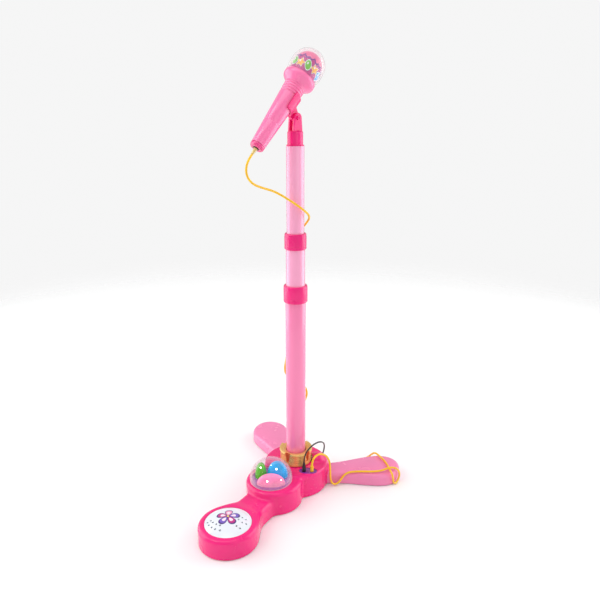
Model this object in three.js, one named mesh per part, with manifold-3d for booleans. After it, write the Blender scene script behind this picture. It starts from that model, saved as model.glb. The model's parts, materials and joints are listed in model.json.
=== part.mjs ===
// Toy karaoke microphone on a telescopic floor stand.
// Millimetres, +Z up. The origin is on the pole's axis, on the floor.
// The speaker leg points along -Y, and the two paddle legs open to either side of +Y.
import * as THREE from "three";
import { mergeVertices } from "three/addons/utils/BufferGeometryUtils.js";
import Module from "manifold-3d";

const wasm = await Module();
wasm.setup();

// ---------- driving dimensions ----------
const GAP = 0.3; // running clearance between neighbouring pieces
const WALL = 2.4; // moulded shell thickness
const DEG = Math.PI / 180;

// base
const RIM_Z = 1.5; // the casing's lower rim stands this far off the floor, on its feet
const HUB_R = 57;
const HUB_TOP = 44;
const LOBE = { x: -2, y: -68, r: 49, top: 42 };
const POD = { x: -2, y: -197, r: 48, top: 34 };
const NECK = { halfWidth: 26, top: 31, from: -85, to: -180 };
const EDGE_R = 5; // rounding of the casing's top edges
const PADDLE_AZIMUTHS = { right: 38, left: 142 };
const HUMP = { at: 38, z: 10, along: 27, across: 25, up: 45 };
const PADDLE = { neckAt: 50, neckHalf: 19, endAt: 158, endR: 36, top: 24, edge: 5 };
const SPIGOT = { from: 46, to: 72, halfWidth: 12, low: 4, high: 20 };
const FOOT = { r: 14, stemR: 8, height: 1.2 };
const COVER_TOP = RIM_Z + 2;
const DOME = { x: -5, y: -73, r: 37, height: 36.5, wall: 1.5 };
const GRILLE = { r: 37.5, crown: 9, thick: 1.8 };
const JACKS = { x: 38, y: -20, turn: 32.5, halfLong: 16, halfShort: 9.5, spacing: 7 };
const BATTERY = { r: 7.1, length: 49, pitch: 16, z: 11.6 };

// pole: outer radius, inner radius, low end and high end of each section
const BOTTOM_TUBE = { r: 17.5, bore: 16.5, low: 12, high: 350 };
const MIDDLE_TUBE = { r: 16, bore: 14.9, low: 158, high: 441 };
const TOP_TUBE = { r: 14.5, bore: 13.4, low: 300, high: 603 };
const LOWER_COLLAR = { r: 20.4, low: 348, high: 377 };
const UPPER_COLLAR = { r: 18.3, low: 438.5, high: 465 };
const RING = { r: 29.4, low: HUB_TOP + GAP, high: 70 };
const RING_SEAT_R = RING.r + 0.6 + GAP;

// head of the pole, clip and microphone
const CAP = { r: 12.4, flangeR: 14.2, flangeHigh: 1.5, high: 626 };
const PIVOT_Z = 645;
const MIC_AZIMUTH = 72.5;
const MIC_TILT = 40.5; // from the vertical
const MIC_OFFSET = 30; // from the tilt pivot to the microphone's axis
const MIC_TAIL = 82.5; // from the tilt pivot's level down to the microphone's tail
const MIC_ROLL = 58; // the handle's front shell is turned this far round in the clip
const TONGUE_HALF = 3;
const CHEEK = 4;
const HANDLE = { from: 6.3, to: 116, rTail: 11.4, rHead: 17, wall: 2 };
const JAW = { from: -7, to: 20, wall: 2.6, openHalf: 80 };
const HEAD = { cupTo: 133, domeTo: 183, ballTo: 177.5, cupR: 25.8, domeR: 27.2, ballR: 23.3 };

// cords
const MIC_CORD_R = 1.75;
const AUX_CORD_R = 1.25;
const CORD_SIDES = 8;

// ---------- geometry helpers ----------
const radians = (degrees) => degrees * DEG;

// A manifold solid from any closed three.js geometry.
function solid(geometry) {
  const bare = geometry.index ? geometry.toNonIndexed() : geometry.clone();
  bare.deleteAttribute("normal");
  bare.deleteAttribute("uv");
  const merged = mergeVertices(bare, 1e-3);
  return new wasm.Manifold(
    new wasm.Mesh({
      numProp: 3,
      vertProperties: new Float32Array(merged.attributes.position.array),
      triVerts: new Uint32Array(merged.index.array),
    }),
  );
}

// Back from a manifold solid to a three.js geometry.
function geometryOf(made) {
  const mesh = made.getMesh();
  const geometry = new THREE.BufferGeometry();
  geometry.setAttribute("position", new THREE.BufferAttribute(mesh.vertProperties, 3));
  geometry.setIndex(new THREE.BufferAttribute(mesh.triVerts, 1));
  return geometry;
}

const join = (...geometries) =>
  geometryOf(geometries.map(solid).reduce((a, b) => a.add(b)));
const cut = (geometry, ...tools) =>
  geometryOf(tools.map(solid).reduce((a, b) => a.subtract(b), solid(geometry)));
const keep = (geometry, tool) => geometryOf(solid(geometry).intersect(solid(tool)));

// A profile of [radius, height] points turned about Z. It runs upward on the outside.
function turned(profile, sides = 20) {
  const points = profile.map(([r, z]) => new THREE.Vector2(r, z));
  return new THREE.LatheGeometry(points, sides).rotateX(Math.PI / 2);
}

const rod = (r, low, high, sides = 16) =>
  turned([[0, low], [r, low], [r, high], [0, high]], sides);

const ring = (rOut, rIn, low, high, sides = 20) =>
  turned([[rIn, low], [rOut, low], [rOut, high], [rIn, high], [rIn, low]], sides);

function box(x0, x1, y0, y1, z0, z1) {
  const block = new THREE.BoxGeometry(x1 - x0, y1 - y0, z1 - z0);
  return block.translate((x0 + x1) / 2, (y0 + y1) / 2, (z0 + z1) / 2);
}

// An outline in X and Y raised from low to high.
function prism(shape, low, high, curveSegments = 8) {
  const depth = high - low;
  const raised = new THREE.ExtrudeGeometry(shape, { depth, bevelEnabled: false, curveSegments });
  return raised.translate(0, 0, low);
}

// An outline in X and Z pushed along Y, from y0 to y1.
const slab = (shape, y0, y1) =>
  prism(shape, -y1, -y0).rotateX(Math.PI / 2);

// Points of a quarter of an ellipse, from (r, z) on the side to (r - inset, z + rise) on top.
function roundedEdge(r, z, inset, rise, steps = 4) {
  const points = [];
  for (let i = 0; i <= steps; i++) {
    const a = (i / steps) * (Math.PI / 2);
    points.push([r - inset * (1 - Math.cos(a)), z + rise * Math.sin(a)]);
  }
  return points;
}

// A disc with a rounded top edge.
function puck(x, y, r, low, high, sides = 24) {
  const rim = roundedEdge(r, high - EDGE_R, EDGE_R, EDGE_R, 2);
  return turned([[0, low], [r, low], ...rim, [0, high]], sides).translate(x, y, 0);
}

const group = (...children) => {
  const made = new THREE.Group();
  if (children.length) made.add(...children);
  return made;
};

// ---------- materials ----------
const paint = (color, roughness = 0.35, metalness = 0) =>
  new THREE.MeshStandardMaterial({ color, roughness, metalness });
const clear = (color, opacity = 0.35) =>
  new THREE.MeshStandardMaterial({ color, roughness: 0.08, metalness: 0, transparent: true, opacity });

const HOT_PINK = paint("#ee3c8b");
const LIGHT_PINK = paint("#f488b4");
const PALE_PINK = paint("#f4b0cd");
const MIC_PINK = paint("#f470a6");
const WHITE = paint("#f2f4f8", 0.3);
const GOLD = paint("#e0a93e", 0.25, 0.9);
const PURPLE = paint("#7d2f9c", 0.3);
const BLACK = paint("#15151a", 0.45);
const YELLOW = paint("#fbb32c", 0.5);
const RUBBER = paint("#3a3238", 0.85);
const STEEL = paint("#b9bcc0", 0.35, 0.9);
const BOARD = paint("#1f6b3a", 0.6);
const CONE_PAPER = paint("#2a2a2c", 0.9);
const CREAM = paint("#f3dc8e", 0.55);
const CELL = paint("#c9a24a", 0.4, 0.6);
const CLEAR = clear("#ffe9f2");
const GREEN_LENS = clear("#4fb548", 0.7);
const BLUE_LENS = clear("#18a4ec", 0.7);
const PINK_LENS = clear("#f78bb0", 0.6);
const NATURAL = paint("#e9e4dc", 0.5);

const part = (name, geometry, material) => {
  const mesh = new THREE.Mesh(geometry, material);
  mesh.name = name;
  return mesh;
};

// ---------- base casing ----------
// The casing's outer form, drawn in by inset on its sides and top.
function casing(inset, low) {
  const neck = new THREE.Shape();
  const half = NECK.halfWidth - inset;
  const top = NECK.top - inset;
  neck.moveTo(-half, low);
  neck.lineTo(half, low);
  neck.lineTo(half, top - EDGE_R);
  neck.quadraticCurveTo(half, top, half - EDGE_R, top);
  neck.lineTo(EDGE_R - half, top);
  neck.quadraticCurveTo(-half, top, -half, top - EDGE_R);
  neck.lineTo(-half, low);
  const humps = Object.values(PADDLE_AZIMUTHS).map((azimuth) =>
    new THREE.SphereGeometry(1, 12, 8)
      .rotateX(Math.PI / 2)
      .scale(HUMP.along - inset, HUMP.across - inset, HUMP.up - inset)
      .translate(HUMP.at, 0, HUMP.z)
      .rotateZ(radians(azimuth)),
  );
  const whole = join(
    puck(0, 0, HUB_R - inset, low, HUB_TOP - inset),
    puck(LOBE.x, LOBE.y, LOBE.r - inset, low, LOBE.top - inset),
    puck(POD.x, POD.y, POD.r - inset, low, POD.top - inset),
    slab(neck, NECK.to, NECK.from).translate(POD.x / 2, 0, 0),
    ...humps,
  );
  return cut(whole, box(-300, 300, -300, 300, -60, low));
}

// Each cover screw's place, and the height at which its post meets the casing.
const COVER_SCREWS = [[0, -128, NECK.top - 1.5], [39, 8, HUB_TOP - 1.5], [-39, 8, HUB_TOP - 1.5]];
const GRILLE_SEAT_Z = POD.top - GRILLE.thick - GAP;

function jackOutline(grow) {
  const outline = new THREE.Shape();
  const a = JACKS.halfLong + grow;
  outline.absellipse(0, 0, a, JACKS.halfShort + grow, 0, 2 * Math.PI);
  return outline;
}
const placeAtJacks = (geometry) => geometry.rotateZ(radians(JACKS.turn)).translate(JACKS.x, JACKS.y, 0);

function baseShell() {
  const poleBoss = rod(BOTTOM_TUBE.r + 3, COVER_TOP + GAP, HUB_TOP - 1, 20);
  const posts = COVER_SCREWS.map(([x, y, top]) => rod(3.6, COVER_TOP + GAP, top, 8).translate(x, y, 0));
  const hollow = cut(casing(0, RIM_Z), casing(WALL, RIM_Z - 1));
  const seats = join(
    rod(RING_SEAT_R + WALL, HUB_TOP - WALL, 80, 24),
    rod(DOME.r + GAP + WALL, LOBE.top - WALL, 80, 20).translate(DOME.x, DOME.y, 0),
  );
  const spigotHoles = Object.values(PADDLE_AZIMUTHS).map((azimuth) => {
    const w = SPIGOT.halfWidth + GAP;
    return box(48, 75, -w, w, SPIGOT.low - GAP, SPIGOT.high + GAP).rotateZ(radians(azimuth));
  });
  return cut(
    join(hollow, poleBoss, ...posts, keep(casing(0, RIM_Z), seats)),
    rod(RING_SEAT_R, HUB_TOP, 80, 24),
    rod(DOME.r + GAP, LOBE.top, 80, 20).translate(DOME.x, DOME.y, 0),
    rod(BOTTOM_TUBE.r + GAP, BOTTOM_TUBE.low - GAP, HUB_TOP + 2, 20),
    rod(DOME.r - 1.6, 30, 60, 20).translate(DOME.x, DOME.y, 0),
    rod(GRILLE.r + GAP, GRILLE_SEAT_Z, 60, 20).translate(POD.x, POD.y, 0),
    rod(GRILLE.r - 3, 20, 60, 20).translate(POD.x, POD.y, 0),
    placeAtJacks(prism(jackOutline(GAP), 30, 60)),
    ...spigotHoles,
    ...COVER_SCREWS.map(([x, y]) => rod(1.7, 0, 16, 8).translate(x, y, 0)),
    box(-7, 7, 49, 62, 17, 24),
  );
}

const DOOR = { x0: -27, x1: 27, y0: -96, y1: -42 };

function bottomCover() {
  const plate = keep(casing(WALL + GAP + 0.1, RIM_Z), box(-200, 200, -300, 200, RIM_Z, COVER_TOP));
  const boss = rod(20, 0, RIM_Z + 0.5, 32);
  return cut(
    join(plate, boss),
    box(DOOR.x0 - GAP, DOOR.x1 + GAP, DOOR.y0 - GAP, DOOR.y1 + GAP, -1, 5),
    rod(FOOT.stemR + GAP, 0, 5, 20).translate(POD.x, POD.y, 0),
    ...COVER_SCREWS.map(([x, y]) => rod(3.4, 0, 5, 12).translate(x, y, 0)),
  );
}

function batteryDoor() {
  return cut(
    box(DOOR.x0, DOOR.x1, DOOR.y0, DOOR.y1, RIM_Z, COVER_TOP - GAP),
    rod(1.8, 0, 5, 10).translate(0, DOOR.y0 + 5, 0),
  );
}

function battery(index) {
  const cell = turned(
    [[0, -24.5], [BATTERY.r, -24.5], [BATTERY.r, 23], [2.7, 23], [2.7, 24.5], [0, 24.5]], 16);
  const turn = index % 2 ? Math.PI / 2 : -Math.PI / 2;
  return cell.rotateX(turn).translate((index - 1) * BATTERY.pitch, (DOOR.y0 + DOOR.y1) / 2, BATTERY.z);
}

const screw = (headR, headHigh, shaftR, length) =>
  turned([[0, 0], [headR, 0], [headR, headHigh], [shaftR, headHigh], [shaftR, length], [0, length]], 8);

function foot() {
  const h = FOOT.height;
  return turned([[0, 0], [FOOT.r, 0], [FOOT.r, h], [FOOT.stemR, h], [FOOT.stemR, 4], [0, 4]], 16);
}

// ---------- paddle legs ----------
// Half width of a paddle at distance d from the pole, up to its round end's centre.
function paddleHalfWidth(d) {
  const s = THREE.MathUtils.smoothstep(d, PADDLE.neckAt + 15, PADDLE.endAt);
  return THREE.MathUtils.lerp(PADDLE.neckHalf, PADDLE.endR, s);
}

function paddleOutline(inset) {
  const steps = 5;
  const side = [];
  for (let i = 0; i <= steps; i++) {
    const d = PADDLE.neckAt + ((PADDLE.endAt - PADDLE.neckAt) * i) / steps;
    side.push([d, paddleHalfWidth(d) - inset]);
  }
  const outline = new THREE.Shape();
  outline.moveTo(side[0][0], -side[0][1]);
  side.slice(1).forEach(([d, w]) => outline.lineTo(d, -w));
  outline.absarc(PADDLE.endAt, 0, PADDLE.endR - inset, -Math.PI / 2, Math.PI / 2);
  side.reverse().forEach(([d, w]) => outline.lineTo(d, w));
  return outline;
}

function paddle(azimuth) {
  const body = new THREE.ExtrudeGeometry(paddleOutline(PADDLE.edge), {
    depth: PADDLE.top + 10,
    bevelThickness: PADDLE.edge,
    bevelSize: PADDLE.edge,
    bevelSegments: 2,
    curveSegments: 7,
  }).translate(0, 0, -10 - PADDLE.edge);
  const pocket = cut(
    prism(paddleOutline(WALL), -10, PADDLE.top - WALL, 6),
    rod(FOOT.r + 3, -20, 40, 20).translate(PADDLE.endAt, 0, 0),
    box(0, 82, -60, 60, -20, 40),
  );
  const spigot = box(SPIGOT.from, SPIGOT.to, -SPIGOT.halfWidth, SPIGOT.halfWidth, SPIGOT.low, SPIGOT.high);
  const outside = cut(body, box(0, 300, -100, 100, -60, RIM_Z)).rotateZ(radians(azimuth));
  const footSeat = join(rod(FOOT.r + GAP, -2, FOOT.height + 2 * GAP, 24), rod(FOOT.stemR + GAP, -2, 4 + GAP, 20));
  const trimmed = cut(
    outside,
    casing(-GAP - 0.1, -2),
    pocket.rotateZ(radians(azimuth)),
    footSeat.translate(PADDLE.endAt, 0, 0).rotateZ(radians(azimuth)),
  );
  return join(trimmed, spigot.rotateZ(radians(azimuth)));
}

// ---------- lights, speaker and electronics ----------
const TRAY_TOP = LOBE.top;

function lightDome() {
  const { r, height, wall } = DOME;
  const low = LOBE.top + GAP;
  const outer = roundedEdge(r, low + 2, r, height - 2, 5);
  const inner = roundedEdge(r - wall - 0.8, low + 2, r - wall - 0.8, height - 2 - wall, 5).reverse();
  return turned([
    ...outer.slice(0, -1), [0, low + height], ...inner, [r - wall - 0.8, low], [r, low], [r, low + 2],
  ]);
}

// Each lens: centre in the dome's frame turned by LENS_TURN, half sizes across and its height.
const LENS_TURN = 32.5;
const LENSES = {
  green: { x: -18, y: 8, rx: 10.3, ry: 11.5, up: 26.5 },
  blue: { x: 11, y: 8, rx: 18.3, ry: 12, up: 29.5 },
  pink: { x: 0.5, y: -15.5, rx: 24.5, ry: 11, up: 19 },
};
const placeInDome = (geometry) => geometry.rotateZ(radians(LENS_TURN)).translate(DOME.x, DOME.y, 0);

function lens({ x, y, rx, ry, up }) {
  const dome = (inset) =>
    new THREE.SphereGeometry(1, 12, 6)
      .rotateX(Math.PI / 2)
      .scale(rx - inset, ry - inset, up - inset)
      .translate(x, y, TRAY_TOP + GAP);
  return placeInDome(cut(dome(0), dome(1.5), box(-80, 80, -80, 80, 0, TRAY_TOP + GAP)));
}

function lightTray() {
  const tray = rod(DOME.r - 1.9, TRAY_TOP - 3, TRAY_TOP, 20).translate(DOME.x, DOME.y, 0);
  const holes = Object.values(LENSES).map(({ x, y }) => placeInDome(rod(3, 30, 50, 8).translate(x, y, 0)));
  return cut(tray, ...holes);
}

function ledBoard() {
  const board = rod(26, 33, 34.6, 16).translate(DOME.x, DOME.y, 0);
  const leds = Object.values(LENSES).map(({ x, y }) =>
    placeInDome(turned([[0, 34], [2.5, 34], [2.5, 46], [1.7, 48], [0, 48.6]], 8).translate(x, y, 0)));
  return join(board, ...leds);
}

function speakerGrille() {
  const low = GRILLE_SEAT_Z + GAP;
  const { r, thick, crown } = GRILLE;
  const arch = (rim, base) => {
    const points = [];
    for (let i = 0; i <= 5; i++) {
      const d = rim * (1 - i / 5);
      points.push([d, base + crown * (1 - (d / rim) ** 2)]);
    }
    return points;
  };
  return turned([
    ...arch(r - 1, low + thick), ...arch(r - 3.4, low).reverse(),
    [r, low], [r, low + thick - 0.6], [r - 1, low + thick],
  ]);
}

const speakerAt = (geometry) => geometry.translate(POD.x, POD.y, 0);
const speakerFrame = () =>
  speakerAt(turned([
    [15.5, 14], [17, 14], [31, 26], [34.5, 26], [34.5, 29.5], [31.5, 29.5], [29, 27], [15.5, 16.2], [15.5, 14],
  ]));
const speakerCone = () =>
  speakerAt(turned([[0, 20], [8, 20], [11, 17.2], [27.5, 29.6], [31, 30], [31, 31], [27, 31], [12, 19.6],
    [8, 23], [0, 24.5]]));
const speakerMagnet = () => speakerAt(turned([[0, 5], [15, 5], [15, 13.7], [10, 13.7], [10, 16], [0, 16]], 16));

function mainBoard() {
  return join(
    box(-20, 20, 24, 46, 8, 9.6),
    rod(3.2, 9, 19, 12).translate(-13, 38, 0),
    rod(3.2, 9, 17, 12).translate(-4, 39, 0),
    box(4, 15, 30, 38, 9, 12),
  );
}

function jackPlate() {
  const plate = prism(jackOutline(0), HUB_TOP - WALL, HUB_TOP - 0.6);
  return placeAtJacks(cut(plate, ...[-1, 1].map((side) =>
    rod(3.7, 30, 60, 16).translate(side * JACKS.spacing, 0, 0))));
}

const jack = (side) =>
  placeAtJacks(cut(rod(5, 24, HUB_TOP - WALL - GAP, 16), rod(2.1, 27, 60, 12)).translate(side * JACKS.spacing, 0, 0));

// A jack plug: pin in the jack, collar, tapered moulding with the cord's hole on top.
const PLUG_BASE = HUB_TOP - 1.2;
const MIC_PLUG_TOP = 54;
const AUX_PLUG_TOP = 60;
function plug(side, bodyR, tipR, top) {
  const body = turned([
    [0, 29], [1.7, 29], [1.7, PLUG_BASE], [bodyR, PLUG_BASE], [bodyR, PLUG_BASE + 9], [tipR, top], [0, top],
  ], 16);
  return placeAtJacks(body.translate(side * JACKS.spacing, 0, 0));
}

function powerSwitch() {
  return join(box(-8, 3, 49.5, 53, 15, 26), box(-5.5, 0.5, 52, 59.5, 18, 23));
}

// ---------- gold ring at the pole's foot ----------
// A thick collar with a shallow funnel on top and four dents that taper down from its rim.
const NOTCH = { topHalf: 5.4, bottomHalf: 2, bottom: 53, floorR: 24.5, azimuths: [-89, -10, 91, 170] };
function goldRing() {
  const { r, low, high } = RING;
  const bore = BOTTOM_TUBE.r + 0.7;
  const body = turned([
    [bore, low], [r - 2.6, low], [r - 0.8, low + 3], [r - 0.6, high - 5], [r, high - 2.5], [r, high],
    [r - 2.2, high], [bore, high - 3], [bore, low],
  ], 24);
  const notch = new THREE.Shape();
  notch.moveTo(-NOTCH.bottomHalf, NOTCH.bottom);
  notch.lineTo(NOTCH.bottomHalf, NOTCH.bottom);
  notch.lineTo(NOTCH.topHalf, high + 1);
  notch.lineTo(-NOTCH.topHalf, high + 1);
  return cut(body, ...NOTCH.azimuths.map((azimuth) =>
    slab(notch, NOTCH.floorR, r + 10).rotateZ(radians(azimuth))));
}

// ---------- telescopic pole ----------
const tube = ({ r, bore, low, high }) => ring(r, bore, low, high);

// A lock collar: a sleeve round the outer tube's end, closed to the inner tube's size on top.
function lockCollar({ r, low, high }, outer, inner) {
  const bore = outer.r + GAP + 0.1;
  const lip = inner.r + GAP;
  return turned([
    [bore, low], [r - 0.8, low], [r, low + 1.2], [r, high - 1.6], [r - 1.2, high], [lip, high],
    [lip, high - 1.6], [bore + 0.9, high - 1.6], [bore + 0.9, outer.high + GAP], [bore, outer.high - 1], [bore, low],
  ]);
}

const bush = (collar, outer, inner) =>
  ring(outer.r + 0.6, inner.r + GAP, outer.high + GAP, collar.high - 2.2);

// A glide ring closes the gap between an inner tube's low end and the tube around it.
const glide = (inner, outer, length) =>
  turned([
    [inner.bore - 2, inner.low - length], [outer.bore - 0.25, inner.low - length],
    [outer.bore - 0.25, inner.low - GAP], [inner.bore - 2, inner.low - GAP], [inner.bore - 2, inner.low - length],
  ]);

// ---------- pole cap, clip and their pivot ----------
function poleCap() {
  const cheekOutline = new THREE.Shape();
  cheekOutline.moveTo(-9.5, CAP.high - 3);
  cheekOutline.lineTo(9.5, CAP.high - 3);
  cheekOutline.lineTo(7.5, PIVOT_Z);
  cheekOutline.absarc(0, PIVOT_Z, 7.5, 0, Math.PI);
  cheekOutline.lineTo(-9.5, CAP.high - 3);
  const inside = TONGUE_HALF + GAP;
  const cheeks = [slab(cheekOutline, inside, inside + CHEEK), slab(cheekOutline, -inside - CHEEK, -inside)];
  const seat = TOP_TUBE.high + GAP;
  const cap = turned([
    [0, TOP_TUBE.high - 14], [TOP_TUBE.bore - GAP, TOP_TUBE.high - 14], [TOP_TUBE.bore - GAP, seat],
    [CAP.flangeR, seat], [CAP.flangeR, seat + CAP.flangeHigh], [CAP.r, seat + CAP.flangeHigh],
    [CAP.r, CAP.high - 2], [CAP.r - 2, CAP.high], [0, CAP.high],
  ]);
  const pinHole = rod(1.8, -20, 20, 12).rotateX(Math.PI / 2).translate(0, 0, PIVOT_Z);
  return cut(join(cap, ...cheeks), pinHole);
}

const handleRadius = (t) =>
  THREE.MathUtils.mapLinear(t, HANDLE.from, HANDLE.to, HANDLE.rTail, HANDLE.rHead);

// The clip's own frame: X from the pivot to the microphone, Z along the microphone.
function clipBody() {
  const { from, to, wall, openHalf } = JAW;
  const r0 = handleRadius(MIC_TAIL + from) + GAP + 0.05;
  const r1 = handleRadius(MIC_TAIL + to) + GAP + 0.05;
  const sleeve = turned([[r0, from], [r0 + wall, from], [r1 + wall, to], [r1, to], [r0, from]], 24);
  const mouth = new THREE.Shape();
  mouth.moveTo(0, 0);
  mouth.absarc(0, 0, 40, radians(-openHalf), radians(openHalf));
  const jaws = cut(sleeve, prism(mouth, from - 1, to + 1, 12)).translate(MIC_OFFSET, 0, 0);
  const tongue = new THREE.Shape();
  const reach = MIC_OFFSET - r0 - wall / 2;
  tongue.moveTo(0, -7);
  tongue.lineTo(reach, from);
  tongue.lineTo(reach, 15);
  tongue.quadraticCurveTo(6, 10, 0, 7);
  tongue.absarc(0, 0, 7, Math.PI / 2, 1.5 * Math.PI);
  const pinHole = rod(1.8, -20, 20, 12).rotateX(Math.PI / 2);
  return cut(join(jaws, slab(tongue, -TONGUE_HALF, TONGUE_HALF)), pinHole);
}

const CHEEK_OUT = TONGUE_HALF + GAP + CHEEK + GAP;
const pivotScrew = () => screw(3.2, 2, 1.5, 2 * CHEEK_OUT + 4.5).translate(0, 0, -CHEEK_OUT - 2).rotateX(Math.PI / 2);
const pivotNut = () =>
  cut(rod(3.3, CHEEK_OUT, CHEEK_OUT + 2.2, 6), rod(1.5 + GAP, 0, 20, 12)).rotateX(Math.PI / 2);

// ---------- microphone, its tail at z = 0 and its axis along Z ----------
const HANDLE_SCREWS = [32, 74];

function handleShell(front) {
  const { from, to, wall } = HANDLE;
  const shell = turned([
    [handleRadius(from) - wall, from], [handleRadius(from), from], [handleRadius(to), to],
    [handleRadius(to) - wall, to], [handleRadius(from) - wall, from],
  ], 24);
  const split = GAP / 2;
  const half = front ? box(split, 30, -30, 30, 0, 200) : box(-30, -split, -30, 30, 0, 200);
  const side = front ? 1 : -1;
  const posts = HANDLE_SCREWS.map((t) =>
    rod(2.8, split, handleRadius(t) - 1, 10).rotateY((side * Math.PI) / 2).translate(0, 0, t));
  const holes = HANDLE_SCREWS.map((t) => {
    if (front) return rod(1.4, -1, 8, 10).rotateY(Math.PI / 2).translate(0, 0, t);
    return join(rod(1.4, -1, 20, 10), rod(2.6, 9, 20, 10)).rotateY(-Math.PI / 2).translate(0, 0, t);
  });
  return cut(join(keep(shell, half), ...posts), ...holes);
}

const handleScrew = (t) =>
  screw(2.2, 1.5, 1.05, 15).rotateY(Math.PI / 2).translate(-11, 0, t);

const tailCap = () =>
  turned([
    [3.3, 0], [HANDLE.rTail - 2, 0], [HANDLE.rTail - 0.4, 1.6], [HANDLE.rTail - 0.1, 6],
    [8, 6], [8, 9], [3.3, 9], [3.3, 0],
  ]);
const cordGland = () =>
  turned([[0, -10], [2.1, -10], [3, -1.5], [3, 9.3], [5, 9.3], [5, 12], [0, 12]], 16);

function headCup() {
  const from = HANDLE.to + GAP;
  const { cupR, cupTo } = HEAD;
  return turned([
    [4, from], [HANDLE.rHead, from], [HANDLE.rHead + 0.6, from + 2], [20.8, 121.6], [23.9, 124], [cupR - 0.5, 126.4],
    [cupR, 129], [cupR - 0.4, cupTo], [cupR - 2.8, cupTo], [cupR - 3.4, 129.5], [19.5, 125.5], [14, 121], [4, 121],
    [4, from],
  ]);
}

function headDome() {
  const low = HEAD.cupTo + GAP;
  const wall = 1.5;
  const { domeR: r, domeTo } = HEAD;
  return turned([
    [r - 1.7, low], [r - 0.7, low + 6], [r, 149], ...roundedEdge(r - 0.4, 157, r - 0.4, domeTo - 157, 5),
    ...roundedEdge(r - 0.4 - wall, 157, r - 0.4 - wall, domeTo - wall - 157, 5).reverse(),
    [r - wall, 149], [r - 0.7 - wall, low + 6], [r - 1.7 - wall, low], [r - 1.7, low],
  ]);
}

function innerBall() {
  const low = HEAD.cupTo + GAP;
  const wall = 1.4;
  const { ballR: r, ballTo } = HEAD;
  return turned([
    [r - 0.6, low], [r, 148], ...roundedEdge(r - 0.2, 154, r - 0.2, ballTo - 154, 3),
    ...roundedEdge(r - 0.2 - wall, 154, r - 0.2 - wall, ballTo - wall - 154, 3).reverse(),
    [r - wall, 148], [r - 0.6 - wall, low], [r - 0.6, low],
  ]);
}

const micCapsule = () =>
  turned([[0, 121.4], [9, 121.4], [9, 124], [5.6, 126], [5.6, 152], [4.8, 152], [4.8, 156], [0, 156]], 12);

// ---------- cords ----------
function cordTube(points, r, steps) {
  const path = new THREE.CatmullRomCurve3(points.map((p) => new THREE.Vector3(...p)));
  const section = new THREE.Shape();
  for (let i = 0; i < CORD_SIDES; i++) {
    const a = (i / CORD_SIDES) * 2 * Math.PI;
    const corner = [r * Math.cos(a), r * Math.sin(a)];
    if (i) section.lineTo(...corner);
    else section.moveTo(...corner);
  }
  return new THREE.ExtrudeGeometry(section, { steps, extrudePath: path });
}

// From the microphone's tail: across the front of the pole, down behind it, over the hub's back edge,
// behind the right paddle, over the paddle's end and back along it, and up into the base's socket.
const MIC_CORD = [
  [-25.2, -79.7, 593.4], [-27.2, -86, 585.7], [-28.7, -90.4, 576], [-28.7, -89.9, 563],
  [-26, -80, 550.5], [-20.5, -60, 542], [-14.5, -43.5, 536.5], [-7.4, -31, 529.5],
  [3.6, -23, 521], [15.5, -17, 512.5], [21.7, -7.4, 504], [22.1, 5.2, 495.5],
  [15.7, 16.6, 486.5], [4.9, 22.2, 476], [-6.2, 21.9, 462], [-10.7, 20.5, 440], [-12.6, 19.8, 410],
  [-14.3, 18.7, 372], [-15.2, 18.2, 345], [-17.4, 16.2, 310], [-20.8, 12.2, 270],
  [-23.7, 5.6, 235], [-23.4, 0.5, 217], [-22.1, 4.9, 205], [-16.1, 14.1, 197], [-6.2, 20.9, 190],
  [4.4, 22.9, 183], [10.8, 21.1, 174], [6.6, 23.2, 160], [-1.7, 25, 140], [-7.8, 27.1, 115],
  [-11.3, 30.7, 90], [-13.5, 34.7, 72], [-15.8, 39.7, 58.5], [-18.4, 45.5, 50.4],
  [-20.9, 51.3, 47.2], [-22.7, 56.2, 41.5], [-23.6, 58.7, 32], [-23.1, 59.5, 19], [-21.2, 61.2, 9],
  [-16.6, 64.1, 3.4], [-8.7, 67.7, 1.8], [4.3, 71.5, 1.8], [18.8, 74.8, 1.8], [33.9, 80.9, 1.8],
  [48.8, 90.9, 1.8], [61.3, 104.8, 1.8], [69, 118.7, 1.8], [76.7, 128.9, 2.5], [85.6, 132.8, 9],
  [93.7, 130.2, 19], [101.6, 125.2, 26], [114.5, 118, 26.3], [127.1, 109.4, 26.3],
  [138, 99.8, 26.3], [146.6, 89.5, 26.6], [150.5, 83, 28], [156, 78.9, 27.2], [160.4, 76.4, 21.5],
  [161.4, 76, 13.5], [161, 77.6, 8], [161.6, 81.5, 3.4], [162.9, 86.6, 1.9], [163.8, 92.1, 3.6],
  [164.2, 95.9, 8.5], [164.8, 97.3, 14], [164, 97.3, 21], [160.3, 96.7, 26.6],
  [155.4, 94.3, 28.4], [150.9, 88.8, 30.2], [145.7, 82.1, 29.8], [139.4, 75.3, 27],
  [128.4, 66.4, 26], [116.6, 58.9, 26], [104.5, 51.8, 26], [94.6, 45.1, 25.5], [87, 38.8, 24.8],
  [81.2, 33, 18.6], [77.7, 28.8, 9.8], [74.2, 24.5, 4.6], [69.9, 20.5, 2.6], [66, 18, 6],
  [63.5, 17.6, 14], [62.2, 18.3, 25], [61.6, 19.1, 34], [60.3, 18.9, 48], [57.3, 15.2, 60],
  [52.3, 7.2, 68], [48.6, -2.8, 71.5], [45.7, -10.7, 69.5], [44.3, -15.3, 63], [43.9, -16.3, 54.3],
];

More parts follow.
